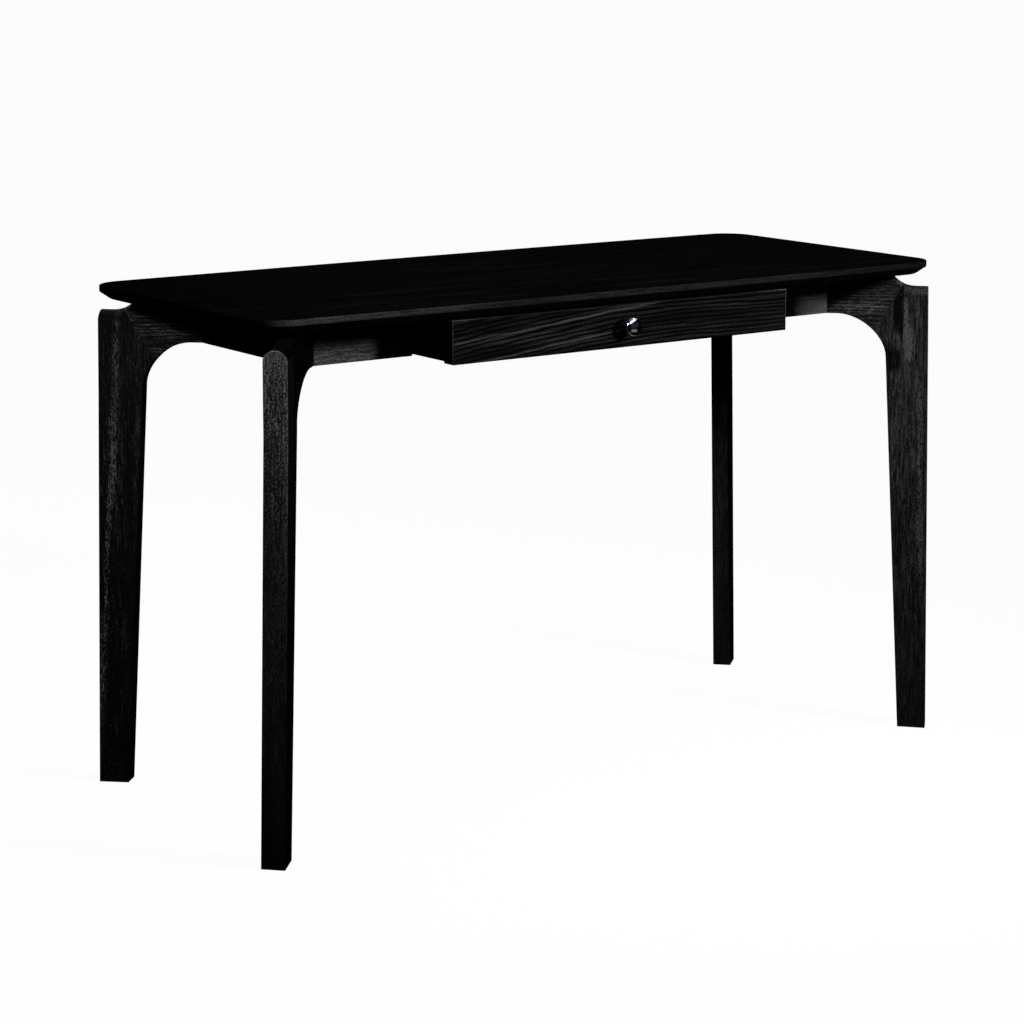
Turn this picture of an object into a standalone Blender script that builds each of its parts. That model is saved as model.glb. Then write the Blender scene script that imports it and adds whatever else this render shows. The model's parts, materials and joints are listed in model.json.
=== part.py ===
"""Console table with one drawer, in metres, +Z up, drawer and knob towards -Y.

The top is a thin slab with bowed long edges and rounded corners. It rests on a frame of
rails. At each corner a diagonal bracket arm runs out from the frame and is mitred into a
leg post, which stands clear of the top. The drawer runs on telescopic slides.
"""

import math

import bmesh
import bpy
from mathutils import Matrix, Vector

# ---------------------------------------------------------------- driving dimensions
TOP_LENGTH = 1.230
TOP_DEPTH = 0.525
TOP_HEIGHT = 0.760
TOP_BOW = 0.006
TOP_CORNER_RADIUS = 0.050
TOP_UNDERSIDE = 0.738
TOP_ARRIS = 0.001
GAP = 0.0003

# The bevel under the top's edge: inset from the outline, and height above the underside
TOP_BEVEL = (
    (0.026, 0.0),
    (0.019, 0.0010),
    (0.014, 0.0026),
    (0.009, 0.0052),
    (0.004, 0.0088),
    (0.000, 0.0130),
)

# The leg's outer face, where it is at LEG_DATUM_Z, and how far the foot leans out from it
LEG_X = 0.5951
LEG_Y = 0.2543
LEG_DATUM_Z = 0.700
LEG_LEAN_ALONG = 0.0122
LEG_LEAN_ACROSS = 0.0100
LEG_THICKNESS = 0.0345
LEG_INNER_THICKNESS_FOOT = 0.0300
LEG_WIDTH_FOOT = 0.0445
LEG_WIDTH_TOP = 0.0658
LEG_TOP_Z = 0.7205
LEG_CURVE_START_Z = 0.606
LEG_CREASE = 0.0385
LEG_CREASE_RUN = 0.015
LEG_CREASE_FADE_Z = (0.600, 0.650)
LEG_STRAIGHT_LEVELS = (0.30, 0.55)
LEG_CURVED_LEVELS = (0.620, 0.635)
LEG_MITRE_LEVELS = (0.665, 0.685, 0.700)
SADDLE_START = 0.020
SADDLE_END = 0.0605
SADDLE_RADIUS = 0.045
ARCH_RADIUS = 0.018

# The bracket arm, measured inwards from the leg's outer face
ARM_THICKNESS = 0.026
ARM_END = 0.190
ARM_UNDERSIDE = 0.6755
ARM_CURVE_END = 0.142
ARM_CURVE_RISE = (0.0005, 0.036)
ARM_CURVE_RUN = (-0.036, 0.0)
MITRE_TOP = 0.037
MITRE_FOOT_Z = 0.650

# What holds a corner together: tenon, block and bolt
TENON_SIZE = (0.024, 0.008, 0.036)
TENON_CLEAR = 0.0012
BLOCK_THICKNESS = 0.020
BLOCK_HEIGHT = 0.044
BOLT_RADIUS = 0.003
BOLT_REACH = 0.040
BOLT_HEAD_RADIUS = 0.0064
BOLT_HEAD_HEIGHT = 0.0045
WASHER_RADIUS = 0.0085
WASHER_THICKNESS = 0.0017
BOLT_HOLE_RADIUS = 0.0036
BOLT_HOLE_ENDS = (-0.045, 0.080)

# The rail frame
RAIL_X = 0.493
RAIL_Y = 0.152
RAIL_THICKNESS = 0.022
CARRIER_X = 0.310
CARRIER_THICKNESS = 0.018

# The drawer
FRONT_WIDTH = 0.611
FRONT_FACE_Y = -0.248
FRONT_THICKNESS = 0.022
FRONT_BOTTOM = 0.6737
FRONT_TOP = 0.7365
BOX_HALF_WIDTH = 0.297
BOX_REAR_Y = 0.115
BOX_BOTTOM = 0.6745
BOX_TOP = 0.7340
BOARD = 0.012
PANEL_BOTTOM = 0.6810
PANEL_THICKNESS = 0.005
GROOVE_DEPTH = 0.005

# The slides, front and rear ends and mid height
SLIDE_FRONT_Y = -0.140
SLIDE_LENGTH = 0.262
SLIDE_Z = 0.706
SLIDE_HEIGHT = 0.036
SLIDE_CLEAR = 0.0005
SHEET = 0.0013

# The knob, whose front face is the foremost point of the table
KNOB_RADIUS = 0.014
KNOB_LENGTH = 0.021
KNOB_Z = 0.7055
KNOB_EDGE = 0.0016
KNOB_DOME = 0.0012
KNOB_WAIST = ((KNOB_RADIUS, 0.0060), (0.0115, 0.0025), (0.0105, GAP))
KNOB_BORE = (0.0022, 0.0125)
KNOB_SCREW_RADIUS = 0.0017
KNOB_SCREW_TIP = 0.0115
KNOB_SCREW_BORE = 0.0023

# The nail-in glides, sunk into the feet and standing a little proud of them
GLIDE_PROUD = 0.0008
GLIDE_FLANGE = 0.0022
GLIDE_RADIUS = 0.010
GLIDE_STEM = 0.0120
GLIDE_STEM_RADIUS = 0.0030
GLIDE_EASE = 0.0005

# The clips under the top, and their screws
CLIP_WIDTH = 0.020
CLIP_SHEET = 0.0016
CLIP_STEP = 0.0030
CLIP_REACH = 0.0260
CLIP_SLOT_Z = 0.7270
CLIP_SLOT_DEPTH = 0.008
CLIP_SLOT_HALF = 0.014
CLIP_ALONG = 0.390
SCREW_X = 0.0160
SCREW_RADIUS = 0.0019
SCREW_LENGTH = 0.0170
SCREW_HEAD = (0.0042, 0.0026)
SCREW_HOLE_CLEAR = 0.0005

# How finely curves are cut: round parts, the bracket curve, and across a leg or arm
HOLE_STEPS = 12
ROUND_STEPS = 16
GLIDE_STEPS = 20
CURVE_STEPS = 24
ACROSS = (-1.0, -0.86, -0.5, 0.0, 0.5, 0.86, 1.0)

# The feet reach furthest back, so the table is moved along Y to centre its box on the origin
FOOT_REAR_Y = LEG_Y + (LEG_LEAN_ALONG - LEG_LEAN_ACROSS + LEG_THICKNESS / 2) / math.sqrt(2)
CENTRE_SHIFT_Y = (KNOB_LENGTH - FRONT_FACE_Y - FOOT_REAR_Y) / 2

CORNERS = {
    "front_left": (-1, -1),
    "front_right": (1, -1),
    "rear_left": (-1, 1),
    "rear_right": (1, 1),
}
SIDES = {"left": -1, "right": 1}


# ---------------------------------------------------------------- scene and materials
def clear_scene():
    for obj in list(bpy.data.objects):
        bpy.data.objects.remove(obj)


def make_collection(name):
    collection = bpy.data.collections.new(name)
    bpy.context.scene.collection.children.link(collection)
    return collection


def material(name, colour, roughness, metallic=0.0):
    mat = bpy.data.materials.new(name)
    mat.use_nodes = True
    shader = mat.node_tree.nodes["Principled BSDF"]
    shader.inputs["Base Color"].default_value = (*colour, 1.0)
    shader.inputs["Roughness"].default_value = roughness
    shader.inputs["Metallic"].default_value = metallic
    return mat


clear_scene()
PARTS = make_collection("console_table")
CUTTERS = make_collection("cutters")

STAINED_OAK = (0.012, 0.011, 0.011)
FINISHES = {
    "top": material("top_black_oak", STAINED_OAK, 0.42),
    "leg": material("leg_black_oak", (0.016, 0.015, 0.015), 0.48),
    "arm": material("arm_black_oak", (0.018, 0.017, 0.017), 0.48),
    "rail": material("rail_black_oak", STAINED_OAK, 0.50),
    "front": material("drawer_front_black_oak", (0.016, 0.015, 0.015), 0.45),
    "box": material("drawer_box_stained_ply", (0.020, 0.018, 0.016), 0.55),
    "beech": material("beech", (0.42, 0.27, 0.15), 0.6),
    "steel": material("zinc_steel", (0.55, 0.56, 0.58), 0.32, 1.0),
    "slide": material("black_coated_steel", (0.015, 0.015, 0.016), 0.45),
    "chrome": material("polished_chrome", (0.80, 0.81, 0.83), 0.06, 1.0),
    "nylon": material("black_nylon", (0.02, 0.02, 0.02), 0.5),
}


# ---------------------------------------------------------------- building helpers
def add_empty(name, location, parent=None):
    empty = bpy.data.objects.new(name, None)
    empty.location = location
    empty.parent = parent
    PARTS.objects.link(empty)
    return empty


def add_part(name, mesh, finish, parent, location=(0, 0, 0), turn=0.0):
    """A named object at location under its parent, turned about Z."""
    obj = bpy.data.objects.new(name, mesh)
    obj.location = location
    obj.rotation_euler = (0, 0, turn)
    obj.parent = parent
    if not mesh.materials:
        mesh.materials.append(FINISHES[finish])
    PARTS.objects.link(obj)
    return obj


def mesh_from(bm, name):
    bmesh.ops.recalc_face_normals(bm, faces=bm.faces)
    mesh = bpy.data.meshes.new(name)
    bm.to_mesh(mesh)
    bm.free()
    return mesh


def box_mesh(name, low, high):
    """A box between two corners."""
    low, high = Vector(low), Vector(high)
    size = high - low
    bm = bmesh.new()
    place = Matrix.Translation((low + high) / 2) @ Matrix.Diagonal((*size, 1))
    bmesh.ops.create_cube(bm, size=1.0, matrix=place)
    return mesh_from(bm, name)


def bar_mesh(name, radius, low, high, steps=HOLE_STEPS):
    """A round or many-sided bar along Z from low to high."""
    bm = bmesh.new()
    bmesh.ops.create_cone(
        bm,
        cap_ends=True,
        segments=steps,
        radius1=radius,
        radius2=radius,
        depth=high - low,
        matrix=Matrix.Translation((0, 0, (low + high) / 2)),
    )
    return mesh_from(bm, name)


def turned_mesh(name, profile, steps=ROUND_STEPS):
    """A solid of revolution about Z from (radius, z) points, top to bottom, on the axis at both ends."""
    bm = bmesh.new()
    verts = [bm.verts.new((radius, 0, z)) for radius, z in profile]
    for start, end in zip(verts, verts[1:]):
        bm.edges.new((start, end))
    guide = add_guide(mesh_from(bm, name + "_profile"))
    screw = guide.modifiers.new("turn", "SCREW")
    screw.steps = steps
    screw.render_steps = steps
    screw.use_merge_vertices = True
    screw.merge_threshold = 0.00005
    mesh = evaluated_mesh(guide, name)
    bpy.data.objects.remove(guide)
    return mesh


def add_guide(data):
    """A helper object that is removed once its mesh has been made."""
    guide = bpy.data.objects.new(data.name, data)
    CUTTERS.objects.link(guide)
    return guide


def evaluated_mesh(obj, name):
    depsgraph = bpy.context.evaluated_depsgraph_get()
    depsgraph.update()
    mesh = bpy.data.meshes.new_from_object(obj.evaluated_get(depsgraph))
    mesh.name = name
    return mesh


def outline_mesh(name, points, thickness, stand=Matrix.Identity(4)):
    """A flat outline in the XY plane, thickened evenly along Z and then placed by stand."""
    curve = bpy.data.curves.new(name, "CURVE")
    curve.dimensions = "2D"
    curve.fill_mode = "BOTH"
    curve.extrude = thickness / 2
    spline = curve.splines.new("POLY")
    spline.points.add(len(points) - 1)
    for point, (x, y) in zip(spline.points, points):
        point.co = (x, y, 0, 1)
    spline.use_cyclic_u = True
    guide = add_guide(curve)
    mesh = evaluated_mesh(guide, name)
    bpy.data.objects.remove(guide)
    bm = bmesh.new()
    bm.from_mesh(mesh)
    bmesh.ops.remove_doubles(bm, verts=bm.verts, dist=0.00001)
    bm.transform(stand)
    bpy.data.meshes.remove(mesh)
    return mesh_from(bm, name)


def block_mesh(name, across, over, up, place):
    """A box of (across x over x up) stations whose surface points are moved by place(u, v, w)."""
    bm = bmesh.new()
    made = {}

    def vert(i, j, k):
        key = (i, j, k)
        if key not in made:
            made[key] = bm.verts.new(place(across[i], over[j], up[k]))
        return made[key]

    last = (len(across) - 1, len(over) - 1, len(up) - 1)
    for axis in range(3):
        first, second = [a for a in range(3) if a != axis]
        for level in (0, last[axis]):
            for a in range(last[first]):
                for b in range(last[second]):
                    ring = []
                    for da, db in ((0, 0), (1, 0), (1, 1), (0, 1)):
                        index = [0, 0, 0]
                        index[axis], index[first], index[second] = level, a + da, b + db
                        ring.append(vert(*index))
                    bm.faces.new(ring)
    return mesh_from(bm, name)


def loft_mesh(name, rings):
    """Closed rings of equal count joined one to the next, with flat ends."""
    bm = bmesh.new()
    loops = [[bm.verts.new(point) for point in ring] for ring in rings]
    count = len(rings[0])
    for lower, upper in zip(loops, loops[1:]):
        for i in range(count):
            j = (i + 1) % count
            bm.faces.new((lower[i], lower[j], upper[j], upper[i]))
    bm.faces.new(loops[0])
    bm.faces.new(loops[-1])
    return mesh_from(bm, name)


def cut(obj, cutter_mesh, matrix=Matrix.Identity(4)):
    """Takes a cutter, placed in the object's own frame, out of the object."""
    cutter = bpy.data.objects.new(f"{obj.name}_cutter_{len(obj.modifiers)}", cutter_mesh)
    cutter.parent = obj
    cutter.matrix_local = matrix
    cutter.hide_render = True
    cutter.display_type = "WIRE"
    CUTTERS.objects.link(cutter)
    boolean = obj.modifiers.new("cut", "BOOLEAN")
    boolean.operation = "DIFFERENCE"
    boolean.solver = "EXACT"
    boolean.object = cutter


def lerp(a, b, t):
    return a + (b - a) * t


def smooth_step(low, high, value):
    t = min(1.0, max(0.0, (value - low) / (high - low)))
    return t * t * (3 - 2 * t)


# ---------------------------------------------------------------- the top
def top_edge_y(x):
    """The bowed long edge."""
    return TOP_DEPTH / 2 - TOP_BOW * (2 * x / TOP_LENGTH) ** 2


def top_ring(inset, z, edge_steps=8, corner_steps=8):
    """The top's plan outline, moved inwards by inset, at height z."""
    corner_x = TOP_LENGTH / 2 - TOP_CORNER_RADIUS
    slope = math.atan(8 * TOP_BOW * corner_x / TOP_LENGTH**2)
    tangent_x = corner_x + TOP_CORNER_RADIUS * math.sin(slope)
    corner_y = top_edge_y(tangent_x) - TOP_CORNER_RADIUS * math.cos(slope)
    radius = TOP_CORNER_RADIUS - inset
    quarter = []
    for i in range(edge_steps):
        x = tangent_x * i / edge_steps
        quarter.append((x, top_edge_y(x) - inset))
    for i in range(corner_steps + 1):
        angle = (math.pi / 2 - slope) * (1 - i / corner_steps)
        quarter.append((corner_x + radius * math.cos(angle), corner_y + radius * math.sin(angle)))
    ring = quarter
    ring = ring + [(x, -y) for x, y in reversed(quarter)]
    ring = ring + [(-x, -y) for x, y in quarter[1:]]
    ring = ring + [(-x, y) for x, y in reversed(quarter[1:])]
    return [(x, y, z) for x, y in ring]


def build_top(root):
    """A slab with a square edge band, bevelled in under the band."""
    rings = [top_ring(inset, TOP_UNDERSIDE + rise) for inset, rise in TOP_BEVEL]
    rings.append(top_ring(0.0, TOP_HEIGHT - TOP_ARRIS))
    rings.append(top_ring(TOP_ARRIS, TOP_HEIGHT))
    return add_part("tabletop", loft_mesh("tabletop", rings), "top", root)


# ---------------------------------------------------------------- legs and bracket arms
def leg_outer(z):
    """Where the leg's outer face is at height z, measured inwards from its place at the datum."""
    return -LEG_LEAN_ALONG * (LEG_DATUM_Z - z) / LEG_DATUM_Z


def leg_inner(z):
    width = lerp(LEG_WIDTH_FOOT, LEG_WIDTH_TOP, z / LEG_CURVE_START_Z)
    return leg_outer(z) + width


def arch_drop(t):
    """How far the rounded top falls away from its crown, t to the side."""
    return ARCH_RADIUS - math.sqrt(ARCH_RADIUS**2 - t**2)


def saddle_z(s, t):
    """The hollow on top of the leg and arm, s inwards from the outer face."""
    run = min(max(0.0, s - SADDLE_START), SADDLE_RADIUS)
    return LEG_TOP_Z + SADDLE_RADIUS - math.sqrt(SADDLE_RADIUS**2 - run**2) - arch_drop(t)


def bracket_curve(steps):
    """The curve under the bracket, from the leg's inner edge up to the level underside."""
    start = Vector((leg_inner(LEG_CURVE_START_Z), LEG_CURVE_START_Z))
    end = Vector((ARM_CURVE_END, ARM_UNDERSIDE))
    rise = Vector(ARM_CURVE_RISE)
    run = Vector(ARM_CURVE_RUN)
    points = []
    for i in range(steps + 1):
        t = i / steps
        a, b, c, d = (1 - t) ** 3, 3 * t * (1 - t) ** 2, 3 * t * t * (1 - t), t**3
        points.append(a * start + b * (start + rise) + c * (end + run) + d * end)
    return points


def curve_s(z):
    """The bracket curve's distance from the outer face at height z."""
    points = bracket_curve(2 * CURVE_STEPS)
    for lower, upper in zip(points, points[1:]):
        if lower.y <= z <= upper.y:
            return lerp(lower.x, upper.x, (z - lower.y) / (upper.y - lower.y))
    return points[0].x


def mitre_s(z):
    """The mitre between leg and arm, as a distance from the outer face at height z."""
    rise = saddle_z(MITRE_TOP, 0.0) - MITRE_FOOT_Z
    return lerp(curve_s(MITRE_FOOT_Z), MITRE_TOP, (z - MITRE_FOOT_Z) / rise)


def leg_right(z):
    """The leg's inner boundary: straight edge, bracket curve, then mitre."""
    if z <= LEG_CURVE_START_Z:
        return leg_inner(z)
    if z <= MITRE_FOOT_Z:
        return curve_s(z)
    return mitre_s(z)


def leg_half_thickness(s, z):
    """Full at the outer face; a crease and hollow bring it down to the arm's thickness."""
    outer_half = LEG_THICKNESS / 2
    inner_half = lerp(LEG_INNER_THICKNESS_FOOT, ARM_THICKNESS, min(1.0, z / LEG_CURVE_START_Z)) / 2
    along = (s - leg_outer(z)) / (leg_right(z) - leg_outer(z))
    tapered = lerp(outer_half, inner_half, min(1.0, max(0.0, along)))
    run = max(0.0005, min(LEG_CREASE_RUN, leg_right(z) - LEG_CREASE))
    hollow = min(1.0, max(0.0, (s - LEG_CREASE) / run))
    creased = lerp(inner_half, outer_half, (1 - hollow) ** 2)
    return lerp(tapered, creased, smooth_step(*LEG_CREASE_FADE_Z, z))


def leg_stations(z):
    """Distances from the outer face at which the leg's surface is built at height z."""
    outer, right = leg_outer(z), leg_right(z)
    crease = min(LEG_CREASE, right - 0.0030)
    hollow = min(LEG_CREASE + LEG_CREASE_RUN / 2, right - 0.0020)
    flat = min(LEG_CREASE + LEG_CREASE_RUN, right - 0.0010)
    return (outer, (outer + crease) / 2, crease, hollow, flat, right)


def leg_mesh(name, hand):
    """A leg post with X inwards along the diagonal; hand is the side that the foot leans to."""
    levels = [GLIDE_PROUD, *LEG_STRAIGHT_LEVELS, LEG_CURVE_START_Z, *LEG_CURVED_LEVELS]
    levels += [MITRE_FOOT_Z, *LEG_MITRE_LEVELS]

    def place(u, v, w):
        if w < len(levels):
            z = levels[w]
            s = leg_stations(z)[u]
            t = v * leg_half_thickness(s, z)
        else:
            z = levels[-1]
            for _ in range(8):
                s = leg_stations(z)[u]
                t = v * leg_half_thickness(s, z)
                z = saddle_z(s, t)
        lean = LEG_LEAN_ACROSS * max(0.0, 1 - z / LEG_CREASE_FADE_Z[0])
        return (s, t + hand * lean, z)

    return block_mesh(name, range(len(leg_stations(0.0))), ACROSS, range(len(levels) + 1), place)


def arm_mesh(name):
    """A bracket arm with X inwards along the diagonal, from the mitre to the corner block."""
    under = [p for p in bracket_curve(CURVE_STEPS) if p.y > MITRE_FOOT_Z + 0.0005]
    under = [Vector((curve_s(MITRE_FOOT_Z), MITRE_FOOT_Z))] + under[:-1:2] + [under[-1]]
    under.append(Vector((ARM_END, ARM_UNDERSIDE)))
    steps = len(under) - 1

    def place(u, v, w):
        t = v * ARM_THICKNESS / 2
        if w == 0:
            low = under[u]
            s, z = low.x, low.y
        else:
            s = ARM_END if u == steps else lerp(MITRE_TOP, SADDLE_END, u / (steps - 1))
            z = min(TOP_UNDERSIDE - GAP, saddle_z(s, t))
            for _ in range(8 if u == 0 else 0):
                s = mitre_s(z)
                z = saddle_z(s, t)
        gap = 2 * GAP if u == 0 else 0.0
        return (s + gap, t, z)

    return block_mesh(name, range(steps + 1), ACROSS, range(2), place)


def corner_frame(sx, sy):
    """Where a corner's diagonal starts, at the leg's outer face, and the turn of its X axis."""
    return (sx * LEG_X, sy * LEG_Y, 0.0), math.atan2(-sy, -sx)


def tilted(s, z, turn):
    """Places a cutter or tenon at (s, z) in a corner's frame, turned about the Y axis."""
    return Matrix.Translation((s, 0, z)) @ Matrix.Rotation(turn, 4, "Y")


def build_corners(root):
    """Legs, bracket arms, the tenons in their mitres, corner blocks, bolts and glides."""
    legs = {hand: leg_mesh(f"leg_{hand}", hand) for hand in (-1, 1)}
    arm = arm_mesh("bracket_arm")
    tenon_size = Vector(TENON_SIZE)
    tenon = box_mesh("tenon", -tenon_size / 2, tenon_size / 2)
    pocket_size = tenon_size + TENON_CLEAR * Vector((1, 1, 1))
    pocket = box_mesh("pocket", -pocket_size / 2, pocket_size / 2)
    mid_z = (MITRE_FOOT_Z + LEG_TOP_Z) / 2
    mid_s = leg_right(mid_z)
    slope = math.atan2(curve_s(MITRE_FOOT_Z) - MITRE_TOP, LEG_TOP_Z - MITRE_FOOT_Z)
    tenon_place = tilted(mid_s + GAP, mid_z, -slope)
    block = corner_block_mesh("corner_block")
    bolt = bolt_mesh("corner_bolt")
    bolt_hole = bar_mesh("bolt_hole", BOLT_HOLE_RADIUS, *BOLT_HOLE_ENDS)
    glide = glide_mesh("foot_glide")
    glide_hole = glide_hole_mesh("glide_hole")
    bolt_place = tilted(ARM_END, (ARM_UNDERSIDE + TOP_UNDERSIDE) / 2, math.pi / 2)
    foot_s = (leg_outer(0.0) + leg_inner(0.0)) / 2
    for name, (sx, sy) in CORNERS.items():
        hand = 1 if sx == sy else -1
        location, turn = corner_frame(sx, sy)
        leg = add_part(f"leg_post_{name}", legs[hand], "leg", root, location, turn)
        arm_object = add_part(f"bracket_arm_{name}", arm, "arm", root, location, turn)
        corner = add_empty(f"corner_{name}", location, root)
        corner.rotation_euler = (0, 0, turn)
        key = add_part(f"mitre_tenon_{name}", tenon, "beech", corner)
        key.matrix_local = tenon_place
        cut(leg, pocket, tenon_place)
        cut(arm_object, pocket, tenon_place)
        block_object = add_part(f"corner_block_{name}", block, "rail", corner)
        bolt_object = add_part(f"corner_bolt_{name}", bolt, "steel", corner)
        bolt_object.matrix_local = bolt_place
        cut(arm_object, bolt_hole, bolt_place)
        cut(block_object, bolt_hole, bolt_place)
        foot = (foot_s, hand * LEG_LEAN_ACROSS, 0.0)
        add_part(f"foot_glide_{name}", glide, "nylon", corner, foot)
        cut(leg, glide_hole, Matrix.Translation(foot))


def corner_block_mesh(name):
    """A block across the corner, behind the arm's end, glued between the two rails."""
    inner_corner = (LEG_X - RAIL_X + RAIL_THICKNESS) * math.sqrt(2)
    front = ARM_END + GAP
    back = front + BLOCK_THICKNESS
    clear = GAP * math.sqrt(2)
    points = []
    for s, side in ((front, 1), (back, 1), (back, -1), (front, -1)):
        points.append((s, side * (s - inner_corner - clear)))
    stand = Matrix.Translation((0, 0, (ARM_UNDERSIDE + TOP_UNDERSIDE) / 2))
    return outline_mesh(name, points, BLOCK_HEIGHT, stand)


def bolt_mesh(name):
    """A hexagon-headed bolt and washer along Z, head towards +Z; the origin is at the arm's end."""
    seat = BLOCK_THICKNESS + 2 * GAP
    under_head = seat + WASHER_THICKNESS
    top = under_head + BOLT_HEAD_HEIGHT
    head = add_guide(bar_mesh("head", BOLT_HEAD_RADIUS, under_head - GAP, top, steps=6))
    washer = add_guide(bar_mesh("washer", WASHER_RADIUS, seat, under_head, steps=ROUND_STEPS))
    shank = add_guide(bar_mesh("shank", BOLT_RADIUS, -BOLT_REACH, seat + WASHER_THICKNESS / 2))
    for other in (washer, shank):
        union = head.modifiers.new("join", "BOOLEAN")
        union.operation = "UNION"
        union.solver = "EXACT"
        union.object = other
    mesh = evaluated_mesh(head, name)
    for guide in (head, washer, shank):
        bpy.data.objects.remove(guide)
    return mesh


def glide_mesh(name):
    """A nail-in glide: a flange on the floor and a stem in the leg."""
    profile = (
        (0.0, GLIDE_STEM),
        (GLIDE_STEM_RADIUS, GLIDE_STEM),
        (GLIDE_STEM_RADIUS, GLIDE_FLANGE),
        (GLIDE_RADIUS, GLIDE_FLANGE),
        (GLIDE_RADIUS, GLIDE_EASE),
        (GLIDE_RADIUS - GLIDE_EASE, 0.0),
        (0.0, 0.0),
    )
    return turned_mesh(name, profile, GLIDE_STEPS)


def glide_hole_mesh(name):
    """The glide's stepped hole in the foot, a gap larger all round."""
    profile = (
        (0.0, GLIDE_STEM + GAP),
        (GLIDE_STEM_RADIUS + GAP, GLIDE_STEM + GAP),
        (GLIDE_STEM_RADIUS + GAP, GLIDE_FLANGE + GAP),
        (GLIDE_RADIUS + 2 * GAP, GLIDE_FLANGE + GAP),
        (GLIDE_RADIUS + 2 * GAP, -GLIDE_FLANGE),
        (0.0, -GLIDE_FLANGE),
    )
    return turned_mesh(name, profile, GLIDE_STEPS)


# ---------------------------------------------------------------- the rail frame
def build_rails(root):
    low, high = ARM_UNDERSIDE, TOP_UNDERSIDE - GAP
    stand = Matrix.Translation((0, 0, (low + high) / 2))
    side = (ARM_THICKNESS / 2 + GAP) * math.sqrt(2)
    line = LEG_X - LEG_Y
    inner_y = RAIL_Y - RAIL_THICKNESS
    carrier_out = CARRIER_X + CARRIER_THICKNESS
    rails = {}

    for name, sx in SIDES.items():
        start = sx * (carrier_out + GAP)
        points = [
            (start, -RAIL_Y),
            (sx * (line - side + RAIL_Y), -RAIL_Y),
            (sx * (line - side + inner_y), -inner_y),
            (start, -inner_y),
        ]
        mesh = outline_mesh(f"front_rail_{name}", points, high - low, stand)
        rails[f"front_{name}"] = add_part(f"front_rail_{name}", mesh, "rail", root)

        inner_x = RAIL_X - RAIL_THICKNESS
        outer_end = RAIL_X - line - side
        inner_end = inner_x - line - side
        points = [
            (sx * RAIL_X, -outer_end),
            (sx * RAIL_X, outer_end),
            (sx * inner_x, inner_end),
            (sx * inner_x, -inner_end),
        ]
        mesh = outline_mesh(f"side_rail_{name}", points, high - low, stand)
        rails[f"side_{name}"] = add_part(f"side_rail_{name}", mesh, "rail", root)

        carrier_low = (min(sx * CARRIER_X, sx * carrier_out), -RAIL_Y, low)
        carrier_high = (max(sx * CARRIER_X, sx * carrier_out), inner_y - GAP, high)
        mesh = box_mesh(f"drawer_carrier_{name}", carrier_low, carrier_high)
        add_part(f"drawer_carrier_{name}", mesh, "rail", root)

    outer_x = line - side + RAIL_Y
    inner_x = line - side + inner_y
    points = [(-outer_x, RAIL_Y), (outer_x, RAIL_Y), (inner_x, inner_y), (-inner_x, inner_y)]
    mesh = outline_mesh("rear_rail", points, high - low, stand)
    rails["rear"] = add_part("rear_rail", mesh, "rail", root)
    return rails


# ---------------------------------------------------------------- fixings under the top
def clip_mesh(name):
    """A Z-shaped clip: X points away from the rail, the lip at -X sits in the rail's slot."""
    high = TOP_UNDERSIDE - GAP
    low = CLIP_SLOT_Z
    lip = CLIP_SHEET - CLIP_SLOT_DEPTH
    points = [
        (lip, low),
        (CLIP_STEP + CLIP_SHEET, low),
        (CLIP_STEP + CLIP_SHEET, high - CLIP_SHEET),
        (CLIP_REACH, high - CLIP_SHEET),
        (CLIP_REACH, high),
        (CLIP_STEP, high),
        (CLIP_STEP, low + CLIP_SHEET),
        (lip, low + CLIP_SHEET),
    ]
    stand = Matrix.Rotation(math.pi / 2, 4, "X")
    return outline_mesh(name, points, CLIP_WIDTH, stand)


def screw_mesh(name):
    """A pan-headed wood screw pointing up, with its head under z = 0."""
    point = ((0.0, SCREW_LENGTH), (SCREW_RADIUS, 0.7 * SCREW_LENGTH), (SCREW_RADIUS, 0.0))
    return turned_mesh(name, (*point, *pan_head(0.0)), HOLE_STEPS)


def pan_head(seat):
    """Profile points of a pan head below its seat."""
    radius, height = SCREW_HEAD
    return (
        (radius, seat),
        (0.9 * radius, seat - 0.7 * height),
        (0.5 * radius, seat - height),
        (0.0, seat - height),
    )


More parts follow.
